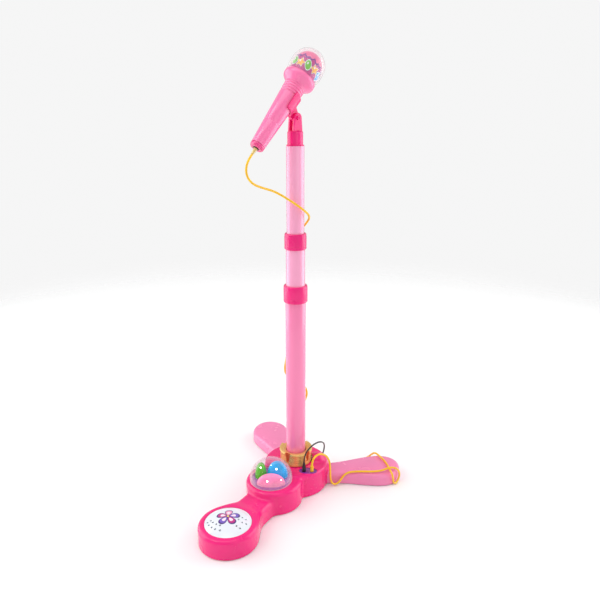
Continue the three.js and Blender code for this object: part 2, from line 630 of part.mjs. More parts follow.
// From the base's second socket: an arch over the hub and down behind it to its coil.
const AUX_CORD = [
  [32.1, -23.8, 60.3], [32.2, -23.4, 67], [33.3, -19.7, 77], [35.1, -11.4, 83], [37.5, 0.7, 86],
  [38.9, 15.3, 84], [38.3, 29.2, 77], [35.8, 40.6, 67], [31.3, 49.6, 53], [25.7, 55.5, 38],
  [19.5, 58.7, 23], [13, 60.5, 11], [6.9, 63.7, 6], [1.4, 68.5, 5.9], [-4, 73.3, 3.6],
  [-12.2, 78.8, 1.4], [-19.8, 83.3, 1.3],
];

const AUX_COIL = { x: -38.2, y: 82.4, rIn: 9.5, rOut: 17.5, high: 5 };
const AUX_FAR_PLUG = { from: [-34, 72], turn: 38, z: 8.5, r: 3 };

const auxCoil = () =>
  ring(AUX_COIL.rOut, AUX_COIL.rIn, 0, AUX_COIL.high, 24).translate(AUX_COIL.x, AUX_COIL.y, 0);

function auxFarPlug() {
  const { from, turn, z, r } = AUX_FAR_PLUG;
  const body = turned([[0, 0], [1.6, 0], [r, 8], [r, 18], [1.75, 18], [1.75, 32], [0, 32]], 14);
  return body.rotateY(Math.PI / 2).rotateZ(radians(turn)).translate(...from, z);
}

// ---------- the assembly ----------
const base = group(
  part("base_shell", baseShell(), HOT_PINK),
  part("bottom_cover", bottomCover(), HOT_PINK),
  part("battery_door", batteryDoor(), HOT_PINK),
  ...[0, 1, 2].map((i) => part(`battery_${i + 1}`, battery(i), CELL)),
  ...COVER_SCREWS.map(([x, y], i) =>
    part(`cover_screw_${i + 1}`, screw(3, 1.4, 1.3, 10).translate(x, y, RIM_Z + 0.4), STEEL)),
  part("door_screw", screw(3, 1.2, 1.3, 3.4).translate(0, DOOR.y0 + 5, 0.2), STEEL),
  part("speaker_foot", foot().translate(POD.x, POD.y, 0), RUBBER),
  part("speaker_frame", speakerFrame(), BLACK),
  part("speaker_magnet", speakerMagnet(), STEEL),
  part("speaker_cone", speakerCone(), CONE_PAPER),
  part("speaker_grille", speakerGrille().translate(POD.x, POD.y, 0), WHITE),
  part("light_dome", lightDome().translate(DOME.x, DOME.y, 0), CLEAR),
  part("light_tray", lightTray(), PURPLE),
  part("led_board", ledBoard(), WHITE),
  part("green_lens", lens(LENSES.green), GREEN_LENS),
  part("blue_lens", lens(LENSES.blue), BLUE_LENS),
  part("pink_lens", lens(LENSES.pink), PINK_LENS),
  part("main_board", mainBoard(), BOARD),
  part("jack_plate", jackPlate(), PURPLE),
  part("aux_jack", jack(-1), BLACK),
  part("mic_jack", jack(1), BLACK),
  part("power_switch", powerSwitch(), BLACK),
  part("gold_ring", goldRing(), GOLD),
);

for (const [side, azimuth] of Object.entries(PADDLE_AZIMUTHS)) {
  const under = foot().translate(PADDLE.endAt, 0, 0).rotateZ(radians(azimuth));
  base.add(
    part(`${side}_paddle`, paddle(azimuth), LIGHT_PINK),
    part(`${side}_foot`, under, RUBBER),
  );
}

const pole = group(
  part("bottom_tube", tube(BOTTOM_TUBE), LIGHT_PINK),
  part("lower_bush", bush(LOWER_COLLAR, BOTTOM_TUBE, MIDDLE_TUBE), NATURAL),
  part("lower_collar", lockCollar(LOWER_COLLAR, BOTTOM_TUBE, MIDDLE_TUBE), HOT_PINK),
  part("middle_tube", tube(MIDDLE_TUBE), PALE_PINK),
  part("middle_glide", glide(MIDDLE_TUBE, BOTTOM_TUBE, 16), NATURAL),
  part("upper_bush", bush(UPPER_COLLAR, MIDDLE_TUBE, TOP_TUBE), NATURAL),
  part("upper_collar", lockCollar(UPPER_COLLAR, MIDDLE_TUBE, TOP_TUBE), HOT_PINK),
  part("top_tube", tube(TOP_TUBE), PALE_PINK),
  part("top_glide", glide(TOP_TUBE, MIDDLE_TUBE, 8), NATURAL),
);

// The cap's cheeks face across the microphone's azimuth.
const capGroup = group(
  part("pole_cap", poleCap(), HOT_PINK),
);
capGroup.rotation.z = radians(MIC_AZIMUTH);

// Clip frame at the tilt pivot: X to the microphone, Y along the pivot screw, Z along the microphone.
const azimuth = radians(MIC_AZIMUTH);
const tilt = radians(MIC_TILT);
const level = new THREE.Vector3(Math.cos(azimuth), Math.sin(azimuth), 0);
const up = new THREE.Vector3(0, 0, 1);
const along = level.clone().multiplyScalar(Math.sin(tilt)).addScaledVector(up, Math.cos(tilt));
const outward = level.clone().multiplyScalar(-Math.cos(tilt)).addScaledVector(up, Math.sin(tilt));
const sideways = along.clone().cross(outward);

const microphone = group(
  part("handle_front", handleShell(true), MIC_PINK),
  part("handle_back", handleShell(false), MIC_PINK),
  ...HANDLE_SCREWS.map((t, i) => part(`handle_screw_${i + 1}`, handleScrew(t), STEEL)),
  part("tail_cap", tailCap(), HOT_PINK),
  part("cord_gland", cordGland(), CREAM),
  part("head_cup", headCup(), MIC_PINK),
  part("head_dome", headDome(), CLEAR),
  part("inner_ball", innerBall(), MIC_PINK),
  part("mic_capsule", micCapsule(), BLACK),
);
microphone.position.set(MIC_OFFSET, 0, -MIC_TAIL);
microphone.rotation.z = radians(MIC_ROLL);

const clip = group(
  part("mic_clip", clipBody(), HOT_PINK),
  part("pivot_screw", pivotScrew(), HOT_PINK),
  part("pivot_nut", pivotNut(), STEEL),
  microphone,
);
clip.setRotationFromMatrix(new THREE.Matrix4().makeBasis(outward, sideways, along));
clip.position.set(0, 0, PIVOT_Z);

const cords = group(
  part("mic_cord", cordTube(MIC_CORD, MIC_CORD_R, 76), YELLOW),
  part("mic_plug", plug(1, 3.2, 2, MIC_PLUG_TOP), YELLOW),
  part("aux_plug", plug(-1, 3.4, 1.6, AUX_PLUG_TOP), BLACK),
  part("aux_cord", cordTube(AUX_CORD, AUX_CORD_R, 30), BLACK),
  part("aux_coil", auxCoil(), BLACK),
  part("aux_far_plug", auxFarPlug(), BLACK),
);

export default group(base, pole, capGroup, clip, cords);
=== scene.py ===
"""Looks of a toy microphone on a telescopic stand with a speaker base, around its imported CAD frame.

Shapes and cords are in millimetres, and become metres in mesh_object() and metres(). The camera, the lights and
the materials' depths are in metres. The row frame has +Z up, the pole on the Z axis and the speaker leg to -Y.
"""

import json
import math

import bmesh
import bpy
import numpy as np
from mathutils import Matrix, Vector


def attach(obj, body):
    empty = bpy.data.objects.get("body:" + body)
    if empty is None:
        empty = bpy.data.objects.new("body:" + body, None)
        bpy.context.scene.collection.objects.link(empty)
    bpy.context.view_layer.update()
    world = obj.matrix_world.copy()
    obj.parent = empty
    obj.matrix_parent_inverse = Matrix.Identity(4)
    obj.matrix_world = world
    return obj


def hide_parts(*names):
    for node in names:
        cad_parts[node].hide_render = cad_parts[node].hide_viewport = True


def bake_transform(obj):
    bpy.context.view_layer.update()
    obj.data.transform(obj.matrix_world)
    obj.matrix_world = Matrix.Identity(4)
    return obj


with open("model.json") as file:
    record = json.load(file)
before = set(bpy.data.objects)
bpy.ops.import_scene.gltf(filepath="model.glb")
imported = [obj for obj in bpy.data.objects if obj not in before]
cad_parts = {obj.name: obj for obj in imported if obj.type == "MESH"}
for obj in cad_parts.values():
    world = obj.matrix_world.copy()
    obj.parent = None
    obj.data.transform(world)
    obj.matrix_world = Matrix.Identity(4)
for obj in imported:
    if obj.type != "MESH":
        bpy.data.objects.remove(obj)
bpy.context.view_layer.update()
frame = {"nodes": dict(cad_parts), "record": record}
scene = bpy.context.scene
MM = 0.001

# ---------- camera ----------
camera = bpy.data.objects.new("camera", bpy.data.cameras.new("camera"))
camera.data.lens = camera.data.sensor_width = 36
camera.location = (0.5212, -0.8181, 0.6469)
camera.rotation_euler = [math.radians(a) for a in (73, 0, 32.06)]
scene.collection.objects.link(camera)
scene.camera = camera

# ---------- dimensions shared with the CAD ----------
PIVOT = Vector((0, 0, 645))
MIC_AZIMUTH, MIC_TILT, MIC_ROLL = (math.radians(a) for a in (72.5, 40.5, 58))
MIC_OFFSET, MIC_TAIL = 30, 82.5
LOBE = {"x": -2, "y": -68, "r": 49, "top": 42}
POD = {"x": -2, "y": -197, "r": 48, "top": 34}
HUB = {"x": 0, "y": 0, "r": 57, "top": 44}
NECK_X, NECK_HALF, NECK_TOP, NECK_ENDS = -1, 26, 31, (-180, -85)
POD_RISE = {"from": -138, "over": 20}
HUMP = {"at": 38, "z": 10, "half": (27, 25, 45)}
PADDLE_AZIMUTHS = {"right": 38, "left": 142}
PADDLE = {"neck_at": 50, "neck_half": 19, "end_at": 158, "end_r": 36, "top": 24}
DOME = {"x": -5, "y": -73, "r": 37}
GRILLE_R, GRILLE_CROWN = 37.5, 9
RING_R, RING_LOW, RING_HIGH = 29.4, 44.3, 70
LENS_TURN = math.radians(32.5)
JACKS = {"x": 38, "y": -20, "turn": math.radians(32.5), "a": 16, "b": 9.5, "spacing": 7}
RIM_Z = 1.5
WALL = 2.4


# ---------- mesh helpers ----------
def mesh_object(name, verts, faces, place=None, crease=32):
    """A smooth-shaded mesh from millimetres, with edges sharper than crease degrees kept sharp."""
    mesh = bpy.data.meshes.new(name)
    points = np.asarray(verts, float)
    if place is not None:
        m = np.array(place, float)
        points = points @ m[:3, :3].T + m[:3, 3]
    mesh.from_pydata((points * MM).tolist(), [], [list(map(int, f)) for f in faces])
    mesh.update()
    obj = bpy.data.objects.new(name, mesh)
    scene.collection.objects.link(obj)
    shade(obj, crease)
    return obj


def shade(obj, crease=32):
    obj.data.shade_smooth()
    obj.data.set_sharp_from_angle(angle=math.radians(crease))


def soften(points, radius=0.5, steps=3, closed=False):
    """The same polyline with its corners rounded."""
    made, count = [], len(points)
    for i, p in enumerate(points):
        p = Vector(p)
        if not closed and i in (0, count - 1):
            made.append(tuple(p))
            continue
        before, after = Vector(points[i - 1]) - p, Vector(points[(i + 1) % count]) - p
        if before.length < 1e-6 or after.length < 1e-6 or before.angle(after) > math.radians(166):
            made.append(tuple(p))
            continue
        a = p + before.normalized() * min(radius, before.length * 0.45)
        b = p + after.normalized() * min(radius, after.length * 0.45)
        for k in range(steps + 1):
            t = k / steps
            made.append(tuple(a * (1 - t) ** 2 + p * 2 * t * (1 - t) + b * t * t))
    return made


def lathe(name, profile, place=None, sides=96, closed=False, angles=None, radius_at=None, crease=32):
    """A profile of (radius, height) turned about Z. It runs upward on the outside."""
    angles = angles if angles is not None else [2 * math.pi * j / sides for j in range(sides)]
    n = len(angles)
    verts, rows = [], []
    for r, z in profile:
        if r < 1e-6:
            rows.append([len(verts)] * n)
            verts.append((0, 0, z))
            continue
        rows.append(range(len(verts), len(verts) + n))
        for a in angles:
            q = radius_at(r, z, a) if radius_at else r
            verts.append((q * math.cos(a), q * math.sin(a), z))
    faces = []
    pairs = list(zip(rows, rows[1:])) + ([(rows[-1], rows[0])] if closed else [])
    for low, high in pairs:
        for j in range(n):
            k = (j + 1) % n
            face = [low[j], low[k], high[k], high[j]]
            face = [v for i, v in enumerate(face) if v != face[i - 1]]
            if len(face) > 2:
                faces.append(face)
    return mesh_object(name, verts, faces, place, crease)


def rod(r, low, high, place=None, sides=96):
    """A plain cylinder, to cut with or to add."""
    return lathe("t", [(0, low), (r, low), (r, high), (0, high)], place, sides)


def groove(r, depth, low, high, slope):
    """Points of a groove with sloping sides in an outside of radius r."""
    return [(r, low), (r - depth, low + slope), (r - depth, high - slope), (r, high)]


def turned_ring(name, profile, radius, place=None, sides=96, steps=3, **settings):
    """A closed profile with rounded corners, turned about Z."""
    return lathe(name, soften(profile, radius, steps, closed=True), place, sides, closed=True, **settings)


def prism(name, outline, low, high, place=None, bevel=0.0):
    """An outline in X and Y raised from low to high, with bevelled edges."""
    n = len(outline)
    area = sum(outline[i - 1][0] * p[1] - p[0] * outline[i - 1][1] for i, p in enumerate(outline))
    outline = outline if area > 0 else outline[::-1]
    verts = [(x, y, low) for x, y in outline] + [(x, y, high) for x, y in outline]
    faces = [[(i + 1) % n, i, n + i, n + (i + 1) % n][::-1] for i in range(n)]
    faces += [list(range(n))[::-1], list(range(n, 2 * n))]
    obj = mesh_object(name, verts, faces, place)
    if bevel:
        modify(obj, "BEVEL", width=bevel * MM, segments=3, limit_method="ANGLE",
               angle_limit=math.radians(40), harden_normals=False)
    return obj


def modify(obj, kind, **settings):
    """Adds a modifier, applies it and shades the result."""
    modifier = obj.modifiers.new(kind.lower(), kind)
    for key, value in settings.items():
        setattr(modifier, key, value)
    made = bpy.data.meshes.new_from_object(obj.evaluated_get(bpy.context.evaluated_depsgraph_get()))
    obj.modifiers.clear()
    old, obj.data = obj.data, made
    made.name = obj.name
    bpy.data.meshes.remove(old)
    shade(obj)
    return obj


def combine(obj, other, operation="UNION"):
    """A boolean with a mesh that is used up by it."""
    modify(obj, "BOOLEAN", object=other, operation=operation, solver="MANIFOLD")
    bpy.data.objects.remove(other)
    return obj


def cut(obj, other):
    return combine(obj, other, "DIFFERENCE")


def ellipse(a, b, steps=64, centre=(0, 0)):
    return [(centre[0] + a * math.cos(2 * math.pi * i / steps), centre[1] + b * math.sin(2 * math.pi * i / steps))
            for i in range(steps)]


def arc(r, degrees, centre=(0, 0)):
    """Points of a circle at the given angles."""
    return [(centre[0] + r * math.cos(a), centre[1] + r * math.sin(a)) for a in map(math.radians, degrees)]


def rounded_rectangle(w, h, r, steps=5):
    corners = [(w - r, h - r, 0), (r - w, h - r, 90), (r - w, r - h, 180), (w - r, r - h, 270)]
    return [p for x, y, a in corners for p in arc(r, [a + 90 * k / steps for k in range(steps + 1)], (x, y))]


def box(name, x0, x1, y0, y1, z0, z1, place=None, bevel=0.0):
    return prism(name, [(x0, y0), (x1, y0), (x1, y1), (x0, y1)], z0, z1, place, bevel)


def move(x, y, z=0.0, turn=0.0):
    return Matrix.Translation((x, y, z)) @ Matrix.Rotation(turn, 4, "Z")


ABOUT_X, ABOUT_Y = (Matrix.Rotation(math.pi / 2, 4, axis) for axis in "XY")
pod_place, dome_place = move(POD["x"], POD["y"]), move(DOME["x"], DOME["y"])
jack_turned = move(JACKS["x"], JACKS["y"], 0, JACKS["turn"])


def mixed(*objs):
    """Joins separate closed meshes, of one material, into the first."""
    mesh = bmesh.new()
    for o in objs:
        mesh.from_mesh(o.data)
    mesh.to_mesh(objs[0].data)
    mesh.free()
    for o in objs[1:]:
        bpy.data.objects.remove(o)
    shade(objs[0])
    return objs[0]


# ---------- smooth solids from distance functions ----------
def surface(name, distance, low, high, cell):
    """The zero surface of a distance function, by surface nets, with its points moved onto the surface."""
    axes = [np.arange(a, b + cell, cell) for a, b in zip(low, high)]
    d = distance(*np.meshgrid(*axes, indexing="ij"))
    inside = d < 0
    n = [s - 1 for s in d.shape]
    corner = [(i, j, k) for i in (0, 1) for j in (0, 1) for k in (0, 1)]

    def take(a, c):
        return a[tuple(slice(first, first + size) for first, size in zip(c, n))]

    count = sum(take(inside, c).astype(int) for c in corner)
    active = (count > 0) & (count < 8)
    index = np.full(active.shape, -1)
    index[active] = np.arange(active.sum())
    total, hits = np.zeros((active.sum(), 3)), np.zeros(active.sum())
    for c in corner:
        for axis in range(3):
            if c[axis]:
                continue
            e = tuple(v + (i == axis) for i, v in enumerate(c))
            d0, d1 = take(d, c)[active], take(d, e)[active]
            crosses = (d0 < 0) != (d1 < 0)
            t = np.where(crosses, d0 / np.where(crosses, d0 - d1, 1), 0)
            at = np.array(c, float) + np.eye(3)[axis] * t[:, None]
            total += at * crosses[:, None]
            hits += crosses
    points = (np.argwhere(active) + total / hits[:, None]) * cell + np.array(low, float)
    h = 0.05
    for _ in range(3):
        here = distance(*points.T)
        slope = np.stack([(distance(*(points + h * e).T) - distance(*(points - h * e).T)) / (2 * h)
                          for e in np.eye(3)], 1)
        step = here[:, None] * slope / np.maximum((slope ** 2).sum(1), 0.1)[:, None]
        points -= np.clip(step, -cell, cell)
    faces = []
    for axis in range(3):
        u, v = (axis + 1) % 3, (axis + 2) % 3
        a = np.moveaxis(inside, (axis, u, v), (0, 1, 2))
        cells = np.moveaxis(index, (axis, u, v), (0, 1, 2))
        changes = a[:-1, 1:-1, 1:-1] != a[1:, 1:-1, 1:-1]
        i, j, k = np.nonzero(changes)
        quad = np.stack([cells[i, j, k], cells[i, j + 1, k], cells[i, j + 1, k + 1], cells[i, j, k + 1]], 1)
        outward = a[i, j + 1, k + 1]
        faces.append(np.where(outward[:, None], quad, quad[:, ::-1]))
    return mesh_object(name, points, np.concatenate(faces))


def blended(a, b, k):
    h = np.clip(0.5 + 0.5 * (b - a) / k, 0, 1)
    return b + (a - b) * h - k * h * (1 - h)


def raised(q, z, top, edge):
    """A plan outline's distance q raised to top, with a rounded top edge."""
    a, b = q + edge, z - (top - edge)
    return np.minimum(np.maximum(a, b), 0) + np.hypot(np.maximum(a, 0), np.maximum(b, 0)) - edge


def puck(x, y, z, p, edge=5.0):
    return raised(np.hypot(x - p["x"], y - p["y"]) - p["r"], z, p["top"], edge)


def casing(x, y, z):
    """Distance to the base casing's outside."""
    d = blended(puck(x, y, z, HUB), puck(x, y, z, LOBE, 6.5), 5)
    neck = np.maximum(np.abs(x - NECK_X) - NECK_HALF, np.maximum(NECK_ENDS[0] - y, y - NECK_ENDS[1]))
    leg = blended(neck, np.hypot(x - POD["x"], y - POD["y"]) - POD["r"], 22)
    t = np.clip((POD_RISE["from"] - y) / POD_RISE["over"], 0, 1)
    d = blended(d, raised(leg, z, NECK_TOP + (POD["top"] - NECK_TOP) * t * t * (3 - 2 * t), 7), 7)
    for azimuth in PADDLE_AZIMUTHS.values():
        c, s = math.cos(math.radians(azimuth)), math.sin(math.radians(azimuth))
        p = np.stack([x * c + y * s - HUMP["at"], y * c - x * s, z - HUMP["z"]])
        r = np.array(HUMP["half"], float).reshape(3, *([1] * np.ndim(x)))
        k0, k1 = np.sqrt(((p / r) ** 2).sum(0)), np.sqrt(((p / r ** 2) ** 2).sum(0))
        d = blended(d, k0 * (k0 - 1) / np.maximum(k1, 1e-6), 4)
    return d


def paddle_distance(x, y, z, azimuth):
    c, s = math.cos(math.radians(azimuth)), math.sin(math.radians(azimuth))
    u, v = x * c + y * s, y * c - x * s
    t = np.clip((u - PADDLE["neck_at"] - 15) / (PADDLE["end_at"] - PADDLE["neck_at"] - 15), 0, 1)
    half = PADDLE["neck_half"] + (PADDLE["end_r"] - PADDLE["neck_half"]) * t * t * (3 - 2 * t)
    end = np.hypot(u - PADDLE["end_at"], v) - PADDLE["end_r"]
    q = np.where(u > PADDLE["end_at"], end, (np.abs(v) - half) * 0.94)
    q = np.maximum(q, 40 - u)
    return raised(q, z, PADDLE["top"] - 0.002 * v * v, 6.5)


# ---------- materials ----------
def linear(hexa):
    values = [int(hexa[i:i + 2], 16) / 255 for i in (1, 3, 5)]
    return [v / 12.92 if v <= 0.04045 else ((v + 0.055) / 1.055) ** 2.4 for v in values] + [1]


def shaded(color, factor):
    return [min(1, c * factor) for c in color[:3]] + [1]


LOOK = {}


class Nodes:
    """A small writer of node trees. LOOK lists each material under its name."""

    def __init__(self, name, hexa="#ffffff"):
        self.color = linear(hexa)
        self.material = LOOK[name] = bpy.data.materials.new(name)
        self.material.use_nodes = True
        self.tree = self.material.node_tree
        self.shader = self.tree.nodes["Principled BSDF"]

    def add(self, kind, inputs=(), **settings):
        node = self.tree.nodes.new(kind)
        for key, value in settings.items():
            setattr(node, key, value)
        for key, value in dict(inputs).items():
            self.set(node.inputs[key], value)
        return node

    def set(self, socket, value):
        if isinstance(value, bpy.types.NodeSocket):
            self.tree.links.new(value, socket)
        else:
            socket.default_value = value

    def math(self, operation, a, b=0.0, clamp=False):
        return self.add("ShaderNodeMath", {0: a, 1: b}, operation=operation, use_clamp=clamp).outputs[0]

    def position(self):
        return self.add("ShaderNodeTexCoord").outputs["Object"]

    def noise(self, scale, stretch=(1, 1, 1), detail=3.0):
        at = self.add("ShaderNodeMapping", {"Vector": self.position(), "Scale": stretch}).outputs[0]
        return self.add("ShaderNodeTexNoise", {"Vector": at, "Scale": scale, "Detail": detail}).outputs["Fac"]

    def span(self, value, low, high, from_low=0.3, from_high=0.7):
        return self.add("ShaderNodeMapRange", {"Value": value, "From Min": from_low, "From Max": from_high,
                                               "To Min": low, "To Max": high}).outputs[0]

    def mix(self, factor, a, b):
        node = self.add("ShaderNodeMix", data_type="RGBA")
        for key, value in ((0, factor), (6, a), (7, b)):
            self.set(node.inputs[key], value)
        return node.outputs[2]

    def bump(self, height, strength, distance=0.0002):
        inputs = {"Height": height, "Strength": strength, "Distance": distance}
        return self.add("ShaderNodeBump", inputs).outputs[0]

    def principled(self, **inputs):
        for key, value in inputs.items():
            self.set(self.shader.inputs[key.replace("_", " ").title().replace("Ior", "IOR")], value)
        return self.material


def plastic(name, hexa, rough=0.24, coat=0.5, variation=0.07, grain=0.06, stretch=(1, 1, 1), wear=0.12, painted_glow=0.0,
            specular=0.5):
    """Moulded plastic: slow colour drift, fine moulding grain, hairline scuffs and paler edges, and a painted
    glow where one is given.
    """
    n = Nodes(name, hexa)
    drift = n.span(n.noise(14, stretch), 0, 1)
    base = n.mix(drift, shaded(n.color, 1 - variation), shaded(n.color, 1 + variation))
    edge = n.span(n.add("ShaderNodeNewGeometry").outputs["Pointiness"], 0, wear, 0.56, 0.68)
    base = n.mix(n.math("MULTIPLY", edge, n.noise(180), clamp=True), base, (1, 0.93, 0.96, 1))
    scuffs = n.span(n.noise(60, detail=6), 0, 1, 0.58, 0.8)
    roughness = n.math("ADD", n.math("MULTIPLY", scuffs, 0.05), n.span(n.noise(35), rough - 0.04, rough + 0.05))
    height = n.math("ADD", n.noise(900, stretch), n.math("MULTIPLY", scuffs, -0.1))
    return n.principled(base_color=base, roughness=roughness, normal=n.bump(height, grain, 0.00008),
                        coat_weight=coat, coat_roughness=0.06, specular_ior_level=specular,
                        emission_color=tuple(n.color), emission_strength=painted_glow)


def rubber(name, hexa, rough=0.6, grain=0.5):
    n = Nodes(name, hexa)
    dust = n.span(n.noise(90, detail=6), 0, 0.35, 0.5, 0.8)
    base = n.mix(dust, n.mix(n.noise(30), shaded(n.color, 0.85), shaded(n.color, 1.12)), shaded(n.color, 1.7))
    return n.principled(base_color=base, roughness=n.span(n.noise(120), rough - 0.08, rough + 0.1),
                        normal=n.bump(n.noise(2400, detail=5), grain, 0.00006))


def metal(name, hexa, rough, metallic=1.0):
    n = Nodes(name, hexa)
    base = n.mix(n.span(n.noise(45, detail=6), 0, 0.25, 0.45, 0.8), n.color, shaded(n.color, 0.6))
    streaks = n.noise(700, detail=2)
    return n.principled(base_color=base, metallic=metallic, normal=n.bump(streaks, 0.12, 0.00005),
                        roughness=n.span(streaks, rough - 0.05, rough + 0.1))


def clear(name, hexa, low, high, frost=None, coat=1.0):
    """Clear moulding: see-through face on, whiter at its edges, where the white is a painted reflection, and
    milky from one height up to another.
    """
    n = Nodes(name, hexa)
    facing = n.add("ShaderNodeLayerWeight", {"Blend": 0.35}).outputs["Facing"]
    haze = n.math("MULTIPLY", n.noise(40), 0.03)
    alpha = n.math("ADD", n.span(facing, low, high, 0.25, 1.0), haze, clamp=True)
    if frost:
        height = n.add("ShaderNodeSeparateXYZ", {0: n.position()}).outputs["Z"]
        alpha = n.math("ADD", alpha, n.span(height, frost[2], 0, frost[0], frost[1]), clamp=True)
    base = n.mix(n.noise(25), shaded(n.color, 0.95), n.color)
    return n.principled(base_color=base, alpha=alpha, roughness=n.span(n.noise(200), 0.05, 0.11),
                        normal=n.bump(n.noise(300), 0.06), coat_weight=coat, coat_roughness=0.03)


def tinted(name, hexa):
    """A tinted translucent lens with moulded flutes and a little light behind it."""
    n = Nodes(name, hexa)
    cells = n.add("ShaderNodeTexVoronoi", {"Vector": n.position(), "Scale": 260})
    base = n.mix(n.span(n.noise(60), 0, 1), shaded(n.color, 0.82), shaded(n.color, 1.15))
    return n.principled(base_color=base, roughness=n.span(n.noise(120), 0.12, 0.22), coat_weight=0.15,
                        coat_roughness=0.04, normal=n.bump(cells.outputs["Distance"], 0.12, 0.0003),
                        emission_color=base, emission_strength=0.3)


# The glint beads' material: its glow, whiter in the middle, is a painted highlight.
def lamp(name, hexa, strength):
    n = Nodes(name, hexa)
    core = n.span(n.add("ShaderNodeLayerWeight", {"Blend": 0.5}).outputs["Facing"], 1, 0.7, 0, 1)
    tint = n.mix(n.math("MULTIPLY", core, n.noise(400)), n.color, (1, 1, 1, 1))
    return n.principled(base_color=tint, roughness=n.span(n.noise(300), 0.1, 0.2), emission_color=tint,
                        emission_strength=strength)


def board(name, hexa):
    n = Nodes(name, hexa)
    tracks = n.add("ShaderNodeTexBrick", {"Vector": n.position(), "Scale": 160, "Color1": shaded(n.color, 0.7),
                                          "Color2": shaded(n.color, 1.2), "Mortar": shaded(n.color, 1.9),
                                          "Mortar Size": 0.03})
    return n.principled(base_color=tracks.outputs["Color"], roughness=n.span(n.noise(200), 0.35, 0.55),
                        normal=n.bump(tracks.outputs["Fac"], 0.2))


plastic("hot_pink", "#f0187a", coat=0.35, specular=0.35)
plastic("light_pink", "#f283b3")
plastic("pole_pink", "#f881b0", rough=0.2, coat=0.8, stretch=(1, 1, 0.04))
plastic("pale_pink", "#ffa6ca", rough=0.2, coat=0.8, stretch=(1, 1, 0.04))
plastic("mic_pink", "#ff76ad", grain=0.04)
plastic("tail_pink", "#ec4189")
plastic("ball_pink", "#ee6d9c", rough=0.35, grain=0.3)
plastic("white_plastic", "#e9eef6", rough=0.16, variation=0.02)
plastic("purple_plastic", "#86309f", rough=0.3)
plastic("black_plastic", "#121216", rough=0.38, coat=0.2, wear=0.1)
plastic("cream_plastic", "#ecd68c", rough=0.4, coat=0.1)
plastic("natural_plastic", "#e9e4dc", rough=0.4, coat=0.0)
# The ring notches' floor glows a little: painted light that lifts it out of the notches' shade.
plastic("ember_plastic", "#d4663a", rough=0.45, coat=0.1, painted_glow=0.1)
metal("gold_plated", "#f4cc78", 0.22, metallic=0.45)
metal("steel", "#c3c5c9", 0.3)
metal("cell_jacket", "#c9a24a", 0.3)
rubber("foot_rubber", "#3a3238")
rubber("cone_paper", "#1d1d20", 0.85, 0.8)
rubber("cord_yellow", "#ffc21f", 0.42, 0.25)
rubber("cord_black", "#141418", 0.45, 0.25)
board("circuit_board", "#1f6b3a")
# Both clear mouldings turn whiter towards their edges: a painted reflection.
clear("clear_shell", "#ffd3e4", 0.0, 0.6, frost=(0.042, 0.06, 0.34), coat=0.4)
clear("clear_head", "#ffffff", 0.03, 0.95)
tinted("green_lens", "#46a614")
tinted("blue_lens", "#009ad8")
tinted("pink_lens", "#f07fae")
# The glint beads' glow: painted highlights on the lenses.
lamp("lamp_white", "#fff7e0", 3.0)
INKS = {"navy": "#4a2a7c", "magenta": "#c22c86", "rose": "#ee8fbb", "pale": "#fbe3ef", "green": "#6fbf2f",
        "orange": "#ffb43a", "yellow": "#ffe36a", "blue": "#2aa3e6", "pink": "#ffb7d3", "white": "#ffffff",
        "plum": "#7a2f8e", "violet": "#7a5fc4"}
for tone, hexa in INKS.items():
    plastic("ink_" + tone, hexa, rough=0.3, coat=0.3, grain=0.05, wear=0.0)

SLOTS = {part["node"]: part["material_slot"] for part in frame["record"]["subparts"]}


def finish_piece(obj, body, slot, look=None, stands_for=()):
    """Gives a piece its body, its material, and the CAD nodes it stands for.

    Those are the node with the piece's own name, unless others are given, and a name that a node has gets an
    ending from Blender. The look is the slot's own, unless told.
    """
    obj.data.materials.clear()
    obj.data.materials.append(LOOK[look or slot])
    if body:
        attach(obj, body)
    own = obj.name.split(".")[0]
    stands_for = stands_for or [own] * (own in frame["nodes"])
    if stands_for:
        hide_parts(*stands_for)
    return obj


